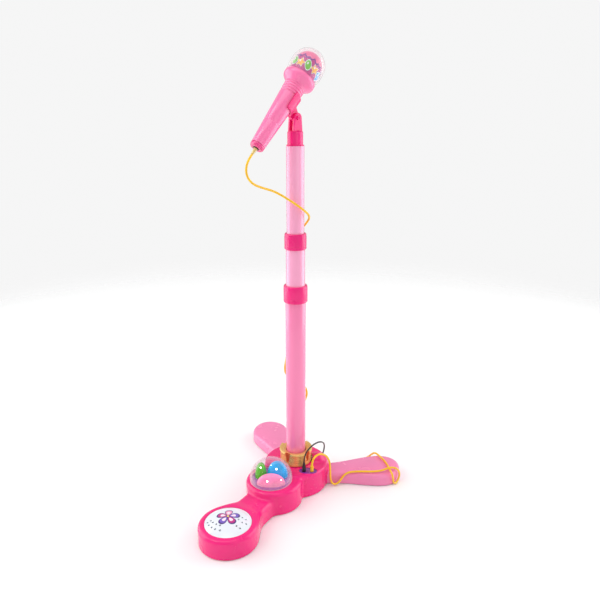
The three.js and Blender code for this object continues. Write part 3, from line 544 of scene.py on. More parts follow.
# ---------- cords ----------
MIC_CORD_R = 1.75
AUX_CORD_R = 1.25
MIC_CORD = [
    (-25.2, -79.7, 593.4), (-27.2, -86, 585.7), (-28.7, -90.4, 576), (-28.7, -89.9, 563), (-26, -80, 550.5),
    (-20.5, -60, 542), (-14.5, -43.5, 536.5), (-7.4, -31, 529.5), (3.6, -23, 521), (15.5, -17, 512.5),
    (21.7, -7.4, 504), (22.1, 5.2, 495.5), (15.7, 16.6, 486.5), (4.9, 22.2, 476), (-6.2, 21.9, 462),
    (-10.7, 20.5, 440), (-12.6, 19.8, 410), (-14.3, 18.7, 372), (-15.2, 18.2, 345), (-17.4, 16.2, 310),
    (-20.8, 12.2, 270), (-23.7, 5.6, 235), (-23.4, 0.5, 217), (-22.1, 4.9, 205), (-16.1, 14.1, 197),
    (-6.2, 20.9, 190), (4.4, 22.9, 183), (10.8, 21.1, 174), (6.6, 23.2, 160), (-1.7, 25, 140),
    (-7.8, 27.1, 115), (-11.3, 30.7, 90), (-13.5, 34.7, 72), (-15.8, 39.7, 58.5), (-18.4, 45.5, 50.4),
    (-20.9, 51.3, 47.2), (-22.7, 56.2, 41.5), (-23.6, 58.7, 32), (-23.1, 59.5, 19), (-21.2, 61.2, 9),
    (-16.6, 64.1, 3.4), (-8.7, 67.7, 1.8), (4.3, 71.5, 1.8), (18.8, 74.8, 1.8), (33.9, 80.9, 1.8),
    (48.8, 90.9, 1.8), (61.3, 104.8, 1.8), (69, 118.7, 1.8), (76.7, 128.9, 2.5), (85.6, 132.8, 9),
    (93.7, 130.2, 19), (101.6, 125.2, 26), (114.5, 118, 26.3), (127.1, 109.4, 26.3), (138, 99.8, 26.3),
    (146.6, 89.5, 26.6), (150.5, 83, 28), (156, 78.9, 27.2), (160.4, 76.4, 21.5), (161.4, 76, 13.5),
    (161, 77.6, 8), (161.6, 81.5, 3.4), (162.9, 86.6, 1.9), (163.8, 92.1, 3.6), (164.2, 95.9, 8.5),
    (164.8, 97.3, 14), (164, 97.3, 21), (160.3, 96.7, 26.6), (155.4, 94.3, 28.4), (150.9, 88.8, 30.2),
    (145.7, 82.1, 29.8), (139.4, 75.3, 27), (128.4, 66.4, 26), (116.6, 58.9, 26), (104.5, 51.8, 26),
    (94.6, 45.1, 25.5), (87, 38.8, 24.8), (81.2, 33, 18.6), (77.7, 28.8, 9.8), (74.2, 24.5, 4.6),
    (69.9, 20.5, 2.6), (66, 18, 6), (63.5, 17.6, 14), (62.2, 18.3, 25), (61.6, 19.1, 34), (60.3, 18.9, 48),
    (57.3, 15.2, 60), (52.3, 7.2, 68), (48.6, -2.8, 71.5), (45.7, -10.7, 69.5), (44.3, -15.3, 63),
    (43.9, -16.3, 54.3),
]
AUX_CORD = [
    (32.1, -23.8, 60.3), (32.2, -23.4, 67), (33.3, -19.7, 77), (35.1, -11.4, 83), (37.5, 0.7, 86),
    (38.9, 15.3, 84), (38.3, 29.2, 77), (35.8, 40.6, 67), (31.3, 49.6, 53), (25.7, 55.5, 38), (19.5, 58.7, 23),
    (13, 60.5, 11), (6.9, 63.7, 6), (1.4, 68.5, 5.9), (-4, 73.3, 3.6), (-12.2, 78.8, 1.4),
]
COIL = {"x": -38.2, "y": 82.4}
FAR_PLUG = {"x": -34, "y": 72, "z": 8.5, "turn": math.radians(38)}


def smooth_route(points, step, rounds=6):
    """A centripetal Catmull-Rom curve through the points, at even steps, relaxed a little."""
    p = np.array(points, float)
    p = np.vstack([2 * p[0] - p[1], p, 2 * p[-1] - p[-2]])
    made = []
    for i in range(1, len(p) - 2):
        t = np.cumsum([0] + [max(np.linalg.norm(p[i + k] - p[i + k - 1]), 1e-6) ** 0.5 for k in range(3)])
        t = t - t[1]
        for s in np.linspace(0, t[2], 12, endpoint=False):
            a = [(t[k + 1] - s) / (t[k + 1] - t[k]) * p[i - 1 + k] + (s - t[k]) / (t[k + 1] - t[k]) * p[i + k]
                 for k in range(3)]
            b = [(t[k + 2] - s) / (t[k + 2] - t[k]) * a[k] + (s - t[k]) / (t[k + 2] - t[k]) * a[k + 1]
                 for k in range(2)]
            made.append((t[2] - s) / t[2] * b[0] + s / t[2] * b[1])
    line = np.array(made + [p[-2]])
    for _ in range(2):
        run = np.concatenate([[0], np.cumsum(np.linalg.norm(np.diff(line, axis=0), axis=1))])
        at = np.linspace(0, run[-1], max(3, int(round(run[-1] / step)) + 1))
        line = np.stack([np.interp(at, run, line[:, k]) for k in range(3)], 1)
        for _ in range(rounds):
            line[1:-1] = line[1:-1] * 0.5 + (line[:-2] + line[2:]) * 0.25
    return line


def tube(name, line, r, sides=14):
    """A closed round tube along a line."""
    line = np.asarray(line, float)
    along = np.gradient(line, axis=0)
    along /= np.linalg.norm(along, axis=1)[:, None]
    side = np.cross(along[0], (0.3, 0.2, 1))
    verts = []
    for p, t in zip(line, along):
        side = side - (side @ t) * t
        side /= np.linalg.norm(side)
        up = np.cross(t, side)
        for j in range(sides):
            a = 2 * math.pi * j / sides
            verts.append(p + r * (math.cos(a) * side + math.sin(a) * up))
    faces = [[i * sides + j, i * sides + (j + 1) % sides, (i + 1) * sides + (j + 1) % sides, (i + 1) * sides + j]
             for i in range(len(line) - 1) for j in range(sides)]
    faces += [list(range(sides))[::-1], [(len(line) - 1) * sides + j for j in range(sides)]]
    return mesh_object(name, verts, faces)


def nearest(line, point):
    return int(np.argmin(np.linalg.norm(line - np.array(point, float), axis=1)))


# The microphone's cord is split where it passes from one moving body to the next.
CORD_SPLITS = [(-28.8, -90.3, 564.5), (-7.4, -31, 529.5), (15.7, 16.6, 486.5), (-17.4, 16.2, 310),
               (-6.2, 20.9, 190)]
CORD_BODIES = [("microphone", "clip"), ("clip", "top_pole"), ("top_pole",), ("top_pole", "middle_pole"),
               ("middle_pole", "stand"), ("stand",)]
mic_line = smooth_route(MIC_CORD, 2.0)
stops = [0] + [nearest(mic_line, p) for p in CORD_SPLITS] + [len(mic_line) - 1]
for i, bodies in enumerate(CORD_BODIES):
    line = mic_line[stops[i]:stops[i + 1] + 1]
    piece = tube(f"mic_cord_run_{i + 1}", line, MIC_CORD_R)
    finish_piece(piece, None, "cord_yellow", stands_for=["mic_cord"])
    if len(bodies) == 2:
        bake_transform(piece)
    else:
        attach(piece, bodies[0])


def coil_route():
    """Three turns on the floor, from the outside in, then two more on top, up to the far plug."""
    made = []

    def wind(a0, a1, r0, r1, z0, z1, count):
        for i in range(count):
            t = i / (count - 1)
            a, r = math.radians(a0 + (a1 - a0) * t), r0 + (r1 - r0) * t
            made.append((COIL["x"] + r * math.cos(a), COIL["y"] + r * math.sin(a), z0 + (z1 - z0) * t))

    wind(38, 1085, 16.3, 10.9, 1.3, 1.3, 70)
    wind(1105, 1130, 11.1, 11.6, 2.0, 3.6, 3)
    wind(1145, 1600, 11.9, 14.6, 3.75, 3.75, 30)
    wind(1630, 1700, 14.0, 12.2, 4.6, 7.6, 5)
    x, y, turn = FAR_PLUG["x"], FAR_PLUG["y"], FAR_PLUG["turn"]
    return made + [(x - 3 * math.cos(turn), y - 3 * math.sin(turn), 8.4), (x, y, FAR_PLUG["z"])]


aux_line = smooth_route(AUX_CORD + coil_route(), 1.5, 3)
aux_lead = finish_piece(tube("aux_lead", aux_line, AUX_CORD_R, 12), "stand", "cord_black",
                        stands_for=["aux_cord", "aux_coil"])


def jack_place(side):
    return jack_turned @ move(side * JACKS["spacing"], 0)


def ribbed(base_r, tip_r, low, high, ribs):
    """Points of a tapered strain relief with shallow ribs."""
    points = []
    for i in range(ribs):
        for share, dip in ((0.0, 0.0), (0.55, 0.0), (0.6, 0.28), (0.95, 0.28)):
            t = (i + share) / ribs
            points.append((base_r + (tip_r - base_r) * t - dip, low + (high - low) * t))
    return points


def jack_plug(name, side, body_r, tip_r, top, slot):
    base = 42.8
    profile = soften([(0, base), (body_r, base), (body_r, base + 8.6)], 0.4) \
        + ribbed(body_r - 0.1, tip_r + 0.3, base + 8.8, top, 4) \
        + [(tip_r, top), (tip_r - 0.3, top + 0.4), (0, top + 0.4)]
    return finish_piece(lathe(name, profile, jack_place(side), 48, crease=50), "stand", slot)


mic_plug = jack_plug("mic_plug", 1, 3.2, 2.0, 54, "cord_yellow")
aux_plug = jack_plug("aux_plug", -1, 3.4, 1.6, 60, "black_plastic")
plug_place = move(FAR_PLUG["x"], FAR_PLUG["y"], FAR_PLUG["z"], FAR_PLUG["turn"]) @ ABOUT_Y
far_body = lathe("aux_far_plug", [(0, -0.5), (1.5, -0.5)] + ribbed(1.6, 2.9, 0, 8, 4)
                 + soften([(3, 8.4), (3, 18), (0, 18)], 0.4), plug_place, 48, crease=50)
finish_piece(far_body, "stand", "black_plastic")
pin_grooves = [p for low in (21.6, 25.6) for p in groove(1.75, 0.25, low, low + 0.5, 0.1)]
pin_line = [(0, 17.9), (1.75, 17.9), *pin_grooves, (1.75, 29), (1.2, 29.8), (1.45, 30.8), (0.5, 32), (0, 32)]
far_pin = lathe("aux_far_pin", soften(pin_line, 0.12), plug_place, 32)
finish_piece(far_pin, "stand", "gold_plated")

# A soft tie round the coil.
tie_place = move(COIL["x"], COIL["y"], 0, math.radians(205)) @ move(13.5, 0, 2.65) @ ABOUT_X
tie = prism("coil_tie", rounded_rectangle(4.9, 3.1, 2.0), -2, 2, tie_place)
cut(tie, prism("t", rounded_rectangle(4.4, 2.6, 1.7), -3, 3, tie_place))
finish_piece(tie, "stand", "foot_rubber")


# ---------- base casing ----------
def bounded(obj, low, high=None):
    """Keeps what is above one height, and below another if given, and closes the cut ends with flat faces."""
    mesh = bmesh.new()
    mesh.from_mesh(obj.data)
    for z, way in ((low, -1), (high, 1)):
        if z is None:
            continue
        everything = mesh.verts[:] + mesh.edges[:] + mesh.faces[:]
        bmesh.ops.bisect_plane(mesh, geom=everything, plane_co=(0, 0, z * MM), plane_no=(0, 0, way),
                               clear_outer=True)
        rim = [e for e in mesh.edges if e.is_boundary and all(abs(v.co.z - z * MM) < 1e-6 for v in e.verts)]
        bmesh.ops.edgeloop_fill(mesh, edges=rim)
    bmesh.ops.recalc_face_normals(mesh, faces=mesh.faces[:])
    mesh.to_mesh(obj.data)
    mesh.free()
    shade(obj)
    return obj


shell = surface("base_shell", casing, (-62, -250, -5), (62, 62, 60), 1.5)
hollow = surface("hollow", lambda x, y, z: casing(x, y, z) + WALL, (-62, -250, -6.3), (62, 62, 60), 3.0)
bounded(shell, RIM_Z)
bounded(hollow, 0)
cover = surface("bottom_cover", lambda x, y, z: casing(x, y, z) + WALL + 0.5, (-62, -250, -5), (62, 62, 8), 2.0)
cut(shell, hollow)
for tool in (  # the seats and wells of the ring and pole, lamps, speaker and sockets, and the switch's slot
    rod(RING_R + 0.9, HUB["top"], 80), rod(17.8, 12, 60),
    rod(DOME["r"] + 0.3, LOBE["top"], 80, dome_place), rod(35.4, 30, 60, dome_place),
    rod(GRILLE_R + 0.3, 31.9, 60, pod_place), rod(34.5, 20, 60, pod_place),
    prism("t", ellipse(JACKS["a"] + 0.3, JACKS["b"] + 0.3), 30, 60, jack_turned),
    box("t", -7, 7, 49, 62, 17, 24),
):
    cut(shell, tool)
finish_piece(shell, "stand", "hot_pink")

COVER_SCREWS = [(0, -128), (39, 8), (-39, 8)]
DOOR_SCREW = (0, -91)
bounded(cover, RIM_Z, 3.5)
combine(cover, rod(20, 0, 2))
for tool in (box("t", -27.3, 27.3, -96.3, -41.7, -1, 5), rod(8.3, -1, 5, pod_place),
             *(rod(3.4, -1, 5, move(*at)) for at in COVER_SCREWS)):
    cut(cover, tool)
modify(cover, "BEVEL", width=0.25 * MM, segments=2, limit_method="ANGLE", angle_limit=math.radians(60))
finish_piece(cover, "stand", "hot_pink")

door = box("battery_door", -27, 27, -96, -42, RIM_Z, 3.2, bevel=0.35)
for k in range(7):
    cut(door, box("t", -12, 12, -58 + 2.4 * k, -56.8 + 2.4 * k, 0, 2.1))
cut(door, rod(1.8, 0, 5, move(*DOOR_SCREW)))
finish_piece(door, "stand", "hot_pink")


def screw(name, place, head_r, head_high, shaft_r, length, body, slot="steel"):
    """A round-headed screw with a cross recess, its head's face at z = 0."""
    piece = lathe(name, soften([(0, 0), (head_r, 0), (head_r, head_high), (shaft_r, head_high), (shaft_r, length),
                                (0, length)], 0.3), place, 32)
    for turn in (0, math.pi / 2):
        cut(piece, box("t", -head_r * 0.6, head_r * 0.6, -0.35, 0.35, -1, 0.8, place @ move(0, 0, 0, turn + 0.6)))
    finish_piece(piece, body, slot)


for k, (x, y) in enumerate(COVER_SCREWS):
    screw(f"cover_screw_{k + 1}", move(x, y, RIM_Z + 0.4), 3, 1.4, 1.3, 10, "stand")
screw("door_screw", move(*DOOR_SCREW, 0.2), 3, 1.2, 1.3, 3.4, "stand")


def foot(name, place):
    grooves = [(4, 0), (4.3, 0.3), (5, 0.3), (5.3, 0), (8, 0), (8.3, 0.3), (9, 0.3), (9.3, 0)]
    edge = soften([(12, 0), (14, 0), (14, 1.2), (8, 1.2), (8, 4), (0, 4)], 0.35)
    finish_piece(lathe(name, [(0, 0)] + grooves + edge, place, 64), "stand", "foot_rubber")


foot("speaker_foot", pod_place)

# ---------- paddle legs ----------
for side, degrees in PADDLE_AZIMUTHS.items():
    a = math.radians(degrees)
    ends = [np.array([math.cos(a), math.sin(a)]) * d for d in (40, PADDLE["end_at"])]
    low = np.append(np.min([ends[0] - 26, ends[1] - 38], axis=0), -5)
    high = np.append(np.max([ends[0] + 26, ends[1] + 38], axis=0), 28)
    body = surface(f"{side}_paddle", lambda x, y, z: paddle_distance(x, y, z, degrees), low, high, 1.6)
    bounded(body, RIM_Z)

    def inside(x, y, z):
        u = x * math.cos(a) + y * math.sin(a)
        return np.maximum(paddle_distance(x, y, z, degrees) + WALL, 76 - u)

    pocket = bounded(surface("pocket", inside, low, high, 3.0), 0)
    end_place = move(*ends[1])
    cut(pocket, rod(17, -9, 40, end_place))
    cut(body, pocket)
    cut(body, lathe("t", [(0, 0), (14.3, 0), (14.3, 1.8), (8.3, 1.8), (8.3, 4.3), (0, 4.3)], end_place))
    finish_piece(body, "stand", "light_pink")
    foot(f"{side}_foot", end_place)

# ---------- speaker grille with a flower printed on it ----------
GRILLE_LOW = 32.2


def grille_top(d):
    return GRILLE_LOW + 1.8 + GRILLE_CROWN * (1 - (d / (GRILLE_R - 1)) ** 2)


def crown_line(rim, base, steps=18):
    return [(rim * (1 - i / steps), base + GRILLE_CROWN * (1 - ((1 - i / steps)) ** 2)) for i in range(steps + 1)]


rim_line = soften([(GRILLE_R - 3.4, GRILLE_LOW), (GRILLE_R, GRILLE_LOW), (GRILLE_R, GRILLE_LOW + 1.5),
                   (GRILLE_R - 1, GRILLE_LOW + 1.9)], 0.5)
grille = lathe("speaker_grille", crown_line(GRILLE_R - 3.4, GRILLE_LOW)[::-1][:-1] + rim_line
               + crown_line(GRILLE_R - 1, GRILLE_LOW + 1.8)[1:], pod_place, 120)
FRONT = math.radians(-58)
# The holes' places, in shares of the grille's radius.
GRILLE_HOLES = [(-0.85, -0.1), (-0.71, -0.05), (-0.77, -0.29), (-0.61, -0.19), (-0.63, -0.45), (-0.45, -0.33),
                (-0.47, -0.57), (-0.28, -0.42), (-0.26, -0.66), (0.45, -0.06), (0.6, 0.1), (0.75, 0.03),
                (0.61, -0.2), (0.3, -0.27), (0.4, -0.44), (0.78, -0.22), (0.55, -0.52)]
grille_frame = pod_place @ move(0, 0, 0, LENS_TURN)
for u, v in GRILLE_HOLES:
    cut(grille, rod(1.65, 25, 60, grille_frame @ move(GRILLE_R * u, GRILLE_R * v), 16))
finish_piece(grille, "stand", "white_plastic")


def patch(name, outline, centre, place, lift, depth=0.25, rings=5):
    """A thin print: an outline in (u, v) laid on the surface that place(u, v, lift) gives."""
    verts, faces, n = [], [], len(outline)
    for high in (lift, lift - depth):
        verts.append(place(*centre, high))
        for k in range(1, rings + 1):
            for u, v in outline:
                s = k / rings
                verts.append(place(centre[0] + (u - centre[0]) * s, centre[1] + (v - centre[1]) * s, high))
    half = 1 + rings * n
    for j in range(n):
        m = (j + 1) % n
        faces += [[0, 1 + j, 1 + m], [half, half + 1 + m, half + 1 + j]]
        for k in range(rings - 1):
            a, b = 1 + k * n, 1 + (k + 1) * n
            faces.append([a + j, b + j, b + m, a + m])
            faces.append([half + a + m, half + b + m, half + b + j, half + a + j])
        a = 1 + (rings - 1) * n
        faces.append([a + j, half + a + j, half + a + m, a + m])
    return mesh_object(name, verts, faces, crease=50)


def on_grille(u, v, lift):
    return (POD["x"] + u, POD["y"] + v, grille_top(math.hypot(u, v)) + lift)


def petal(length, width, turn, centre, steps=36):
    """A rounded petal that starts at the centre and points along turn."""
    points = []
    for i in range(steps):
        t = 2 * math.pi * i / steps
        along, across = length * (0.54 - 0.5 * math.cos(t)), width * math.sin(t) * (0.75 - 0.32 * math.cos(t))
        points.append((centre[0] + along * math.cos(turn) - across * math.sin(turn),
                       centre[1] + along * math.sin(turn) + across * math.cos(turn)))
    return points


def middle(points):
    return tuple(np.mean(np.array(points), axis=0))


FLOWER_AT = (-2.5 * math.cos(FRONT), -2.5 * math.sin(FRONT))
PETAL = 18.5
for k, fill in enumerate(("magenta", "violet", "rose", "magenta", "violet")):
    turn = FRONT + math.radians(36 + 72 * k)
    layers = (("edge", 1.0, 0.12, "navy"), ("fill", 0.8, 0.2, fill), ("vein", 0.45, 0.28, "pale"))
    for label, grow, lift, tone in layers:
        shift = PETAL * (1 - grow) * 0.4
        at = (FLOWER_AT[0] + shift * math.cos(turn), FLOWER_AT[1] + shift * math.sin(turn))
        shape = petal(PETAL * grow, 0.43 * PETAL * grow, turn, at)
        finish_piece(patch(f"flower_petal_{k + 1}_{label}", shape, middle(shape), on_grille, lift), "stand",
                     "ink_" + tone)
for part, r, steps, lift, tone in (("middle", 3.1, 28, 0.34, "navy"), ("eye", 1.9, 24, 0.42, "yellow")):
    shape = ellipse(r, r, steps, FLOWER_AT)
    finish_piece(patch(f"flower_{part}", shape, FLOWER_AT, on_grille, lift), "stand", "ink_" + tone)

# ---------- lamp cluster ----------
dome_low = LOBE["top"] + 0.3


def crown(r, height, base, steps, across, up):
    """A super-ellipse from (r, base) to the top at (0, base + height)."""
    turns = [i / steps * math.pi / 2 for i in range(steps)]
    return [(r * math.cos(a) ** across, base + height * math.sin(a) ** up) for a in turns] + [(0, base + height)]


light_dome = lathe("light_dome", soften([(34.7, dome_low), (37, dome_low), (37, dome_low + 2)], 0.4)
                   + crown(37, 34.5, dome_low + 2, 22, 0.86, 0.95)[1:]
                   + crown(35.2, 32.8, dome_low + 2, 22, 0.86, 0.95)[::-1][:-1], dome_place, 120)
finish_piece(light_dome, "stand", "clear_shell")
tray_line = [(0, 39), (35.1, 39), (35.1, 42), (33.9, 42), (33.5, 41.4), (32.6, 41.4), (32.2, 42), (0, 42)]
finish_piece(lathe("light_tray", soften(tray_line, 0.25), dome_place), "stand", "purple_plastic")

# Each lens: its centre, half sizes and height, in the dome's frame turned by LENS_TURN.
LENSES = {"green": (-18, 8, 10.3, 11.5, 26.5), "blue": (11, 8, 18.3, 12, 29.5),
          "pink": (0.5, -15.5, 24.5, 11, 19)}
# Each glint bead, a painted highlight glowing on its lens: its place from its lens's centre, and its size.
GLINT_SPOTS = {"green": [(0.2, -6.4, 1.6)], "blue": [(-1.5, -8.6, 1.8), (-10.6, -2.2, 1.1)],
              "pink": [(-5.9, -8.4, 1.7), (17.4, -4.5, 1.2)]}
LENS_WALL = 1.5
lens_frame = dome_place @ move(0, 0, 0, LENS_TURN)
for key, (x, y, rx, ry, up) in LENSES.items():
    place = lens_frame @ move(x, y, dome_low) @ Matrix.Diagonal((rx, ry, up, 1))
    wall = LENS_WALL / min(rx, ry)
    outer = crown(1, 1, 0, 20, 0.9, 1)
    inner = [(r * (1 - wall), z * (1 - LENS_WALL / up)) for r, z in outer][::-1]
    finish_piece(lathe(f"{key}_lens", outer + inner, place, 72), "stand", f"{key}_lens")
    # Each bead sits on its lens's top and glows: a painted highlight, not a lamp.
    for k, (dx, dy, size) in enumerate(GLINT_SPOTS[key]):
        z = dome_low + up * math.sqrt(1 - (dx / rx) ** 2 - (dy / ry) ** 2)
        bead = lathe(f"{key}_glint_bead_{k + 1}", [(0, -size)] + arc(size, range(-75, 90, 15)) + [(0, size)],
                     lens_frame @ move(x + dx, y + dy, z - size * 0.55), 24)
        finish_piece(bead, "stand", "lamp_white")

# ---------- gold ring ----------
RING_BORE = 18.2
NOTCH = {"top_half": 5.4, "bottom_half": 2, "bottom": 53, "floor_r": 24.5, "azimuths": (-89, -10, 91, 170)}
ring_profile = [
    (RING_BORE, RING_LOW), (RING_R - 2.6, RING_LOW), (RING_R - 1.0, RING_LOW + 1.6), (RING_R - 0.8, RING_LOW + 5),
    (RING_R - 1.1, RING_LOW + 6), (RING_R - 1.1, RING_HIGH - 6), (RING_R, RING_HIGH - 4.2), (RING_R, RING_HIGH),
    (RING_R - 2.2, RING_HIGH), (RING_BORE, RING_HIGH - 3)]
notch_outline = [(-NOTCH["bottom_half"], NOTCH["bottom"]), (NOTCH["bottom_half"], NOTCH["bottom"]),
                 (NOTCH["top_half"], RING_HIGH + 1), (-NOTCH["top_half"], RING_HIGH + 1)]


def add_coatings(obj):
    for coating in ("gold_plated", "ember_plastic"):
        obj.data.materials.append(LOOK[coating])


gold_ring = turned_ring("gold_ring", ring_profile, 0.7, None, 128, steps=4)
add_coatings(gold_ring)
for azimuth in NOTCH["azimuths"]:
    notch = prism("t", notch_outline, NOTCH["floor_r"], 40, move(0, 0, 0, math.radians(90 + azimuth)) @ ABOUT_X)
    add_coatings(notch)
    for face in notch.data.polygons:
        face.material_index = 1
    cut(gold_ring, notch)
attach(gold_ring, "stand")
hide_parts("gold_ring")

# ---------- sockets ----------
plate = prism("jack_plate", ellipse(JACKS["a"], JACKS["b"]), 41.6, 43.0, jack_turned, bevel=0.3)
rim = prism("t", ellipse(JACKS["a"] - 0.05, JACKS["b"] - 0.05), 42.6, 43.6, jack_turned)
cut(rim, prism("t", ellipse(JACKS["a"] - 1.2, JACKS["b"] - 1.2), 42, 45, jack_turned))
combine(plate, rim)
for side in (-1, 1):
    cut(plate, rod(3.7, 30, 60, jack_place(side), 48))
finish_piece(plate, "stand", "purple_plastic")

# ---------- power switch ----------
knob = mixed(box("power_switch", -8, 3, 49.5, 53, 15, 26, bevel=0.3),
             box("t", -5.5, 0.5, 52.5, 58.9, 18, 23, bevel=0.6))
for k in range(4):
    cut(knob, box("t", -4.9 + 1.4 * k, -4.3 + 1.4 * k, 58.3, 60, 17, 24))
finish_piece(knob, "power_switch", "black_plastic")

# ---------- telescopic pole ----------
# Each tube: its radius, bore, low end, high end, body, slot and look.
TUBES = {"bottom_tube": (17.5, 16.5, 12, 350, "stand", "light_pink", "pole_pink"),
         "middle_tube": (16, 14.9, 158, 441, "middle_pole", "pale_pink", None),
         "top_tube": (14.5, 13.4, 300, 603, "top_pole", "pale_pink", None)}
for name, (r, bore, low, high, body, slot, look) in TUBES.items():
    line = [(bore, low), (r, low), (r, high), (bore, high)]
    finish_piece(turned_ring(name, line, 0.4), body, slot, look)
# Each collar: its radius, low end, high end, the two tubes' radii and the outer tube's high end.
COLLARS = {"lower_collar": (20.4, 348, 377, 17.5, 16, 350), "upper_collar": (18.3, 438.5, 465, 16, 14.5, 441)}
for name, (r, low, high, outer_r, inner_r, outer_high) in COLLARS.items():
    bore, lip = outer_r + 0.4, inner_r + 0.3
    line = [(bore, low), (r - 0.9, low), (r, low + 1.3), *groove(r, 0.45, low + 4.4, low + 6, 0.5), (r, high - 5),
            (r - 0.3, high - 4.6), (r - 0.3, high - 1.6), (r - 1.4, high), (lip, high), (lip, high - 1.6),
            (bore + 0.9, high - 1.6), (bore + 0.9, outer_high + 0.3), (bore, outer_high - 1)]
    finish_piece(turned_ring(name, line, 0.35), name, "hot_pink")

# ---------- pole cap and fork ----------
cap_place = move(0, 0, 0, MIC_AZIMUTH)
pole_cap = lathe("pole_cap", soften([(0, 589), (13.1, 589), (13.1, 603.3), (14.2, 603.3), (14.2, 604.8),
                                     (12.4, 604.8), (12.4, 624), (10.4, 626), (0, 626)], 0.5))
cheek = [(-9.5, 621), (9.5, 621), (7.9, 640), *arc(7.5, range(0, 181, 10), (0, PIVOT.z)), (-7.9, 640)]
for low in (-7.3, 3.3):
    combine(pole_cap, prism("t", cheek, low, low + 4, cap_place @ ABOUT_X, bevel=0.7))
cut(pole_cap, rod(1.8, -20, 20, cap_place @ move(*PIVOT) @ ABOUT_X, 32))
finish_piece(pole_cap, "top_pole", "hot_pink")

level = Vector((math.cos(MIC_AZIMUTH), math.sin(MIC_AZIMUTH), 0))
along = level * math.sin(MIC_TILT) + Vector((0, 0, math.cos(MIC_TILT)))
outward = -level * math.cos(MIC_TILT) + Vector((0, 0, math.sin(MIC_TILT)))
clip_place = move(*PIVOT) @ Matrix((outward, along.cross(outward), along)).transposed().to_4x4()
clip_across = clip_place @ ABOUT_X
mic_place = clip_place @ move(MIC_OFFSET, 0, -MIC_TAIL, MIC_ROLL)
screw("pivot_screw", clip_across @ move(0, 0, -9.6), 3.2, 2, 1.5, 19.7, "top_pole", "hot_pink")
nut = prism("pivot_nut", arc(3.3, range(0, 360, 60)), 7.6, 9.8, clip_across, bevel=0.25)
cut(nut, rod(1.75, 0, 20, clip_across, 24))
finish_piece(nut, "top_pole", "steel")

HANDLE_FROM, HANDLE_TO, HANDLE_R = 6.3, 116, (11.4, 17.0)


def handle_radius(t):
    return HANDLE_R[0] + (t - HANDLE_FROM) / (HANDLE_TO - HANDLE_FROM) * (HANDLE_R[1] - HANDLE_R[0])


def thick_sheet(name, layers, wrap, place=None, crease=32):
    """Closes an outer and an inner grid of points, given by columns, into one solid. Columns may wrap round."""
    columns, rows = len(layers[0]), len(layers[0][0])
    verts = [p for grid in layers for column in grid for p in column]
    half, top, end = columns * rows, rows - 1, (columns - 1) * rows
    faces = []
    for i in range(columns if wrap else columns - 1):
        a, b = i * rows, (i + 1) % columns * rows
        for k in range(top):
            faces += [[a + k, b + k, b + k + 1, a + k + 1],
                      [half + a + k + 1, half + b + k + 1, half + b + k, half + a + k]]
        faces += [[half + a, half + b, b, a], [a + top, b + top, half + b + top, half + a + top]]
    for k in range(0 if wrap else top):
        faces += [[k, k + 1, half + k + 1, half + k],
                  [end + k + 1, end + k, half + end + k, half + end + k + 1]]
    return mesh_object(name, verts, faces, place, crease)


# ---------- clip ----------
CLIP_GAP = 0.35


def clip_sleeve():
    """The jaws: a tapered sleeve, open away from the pivot, with rounded corners and turned-out lips."""
    low, high, wall, opening = -7, 20, 2.6, 80
    steps_a, steps_z = 60, 14

    def point(layer, i, k):
        a = math.radians(opening + (360 - 2 * opening) * i / steps_a)
        lip = max(0, 1 - min(i, steps_a - i) / 5) ** 2 * 1.1
        z = low + (high - low) * k / steps_z
        r = handle_radius(MIC_TAIL + z) + CLIP_GAP + wall * layer + lip * (0.4 if layer else 1)
        return (MIC_OFFSET + r * math.cos(a), r * math.sin(a), z)

    layers = [[[point(layer, i, k) for k in range(steps_z + 1)] for i in range(steps_a + 1)] for layer in (1, 0)]
    obj = thick_sheet("mic_clip", layers, False, clip_place)
    return modify(obj, "BEVEL", width=0.8 * MM, segments=3, limit_method="ANGLE", angle_limit=math.radians(50))


mic_clip = clip_sleeve()
reach = MIC_OFFSET - handle_radius(MIC_TAIL) - CLIP_GAP - 1.3
tongue = [(0, -7), (reach, -7), (reach, 15), (8, 11), *arc(7, range(90, 260, 12))]
combine(mic_clip, prism("t", tongue, -3, 3, clip_across, bevel=0.6))
cut(mic_clip, rod(1.8, -20, 20, clip_across, 32))
finish_piece(mic_clip, "clip", "hot_pink")

# ---------- microphone ----------
seam_at = [math.pi / 2, 3 * math.pi / 2]
turns = sorted([2 * math.pi * j / 96 for j in range(96) if j not in (24, 72)]
               + [s + d for s in seam_at for d in (-0.022, -0.012, 0.012, 0.022)])
SCREWS_AT = (32, 74)


def on_handle(t, depth=0.0):
    return handle_radius(t) - depth, t


outside = [on_handle(HANDLE_FROM), on_handle(45.1), on_handle(46, 0.22), on_handle(46.9)]
for t in (99.5, 103.9, 108.3, 112.7):
    r = handle_radius(t) - 1.25
    outside += [on_handle(t - 1.3), (r, t - 1.0), (r, t + 0.5), on_handle(t + 1.3)]
outside += [on_handle(HANDLE_TO), on_handle(HANDLE_TO, 2), on_handle(HANDLE_FROM, 2)]


def with_seam(r, z, a):
    near = min(abs(a - s) for s in seam_at)
    return r - (0.3 if near < 0.015 and r > handle_radius(z) - 1 else 0)


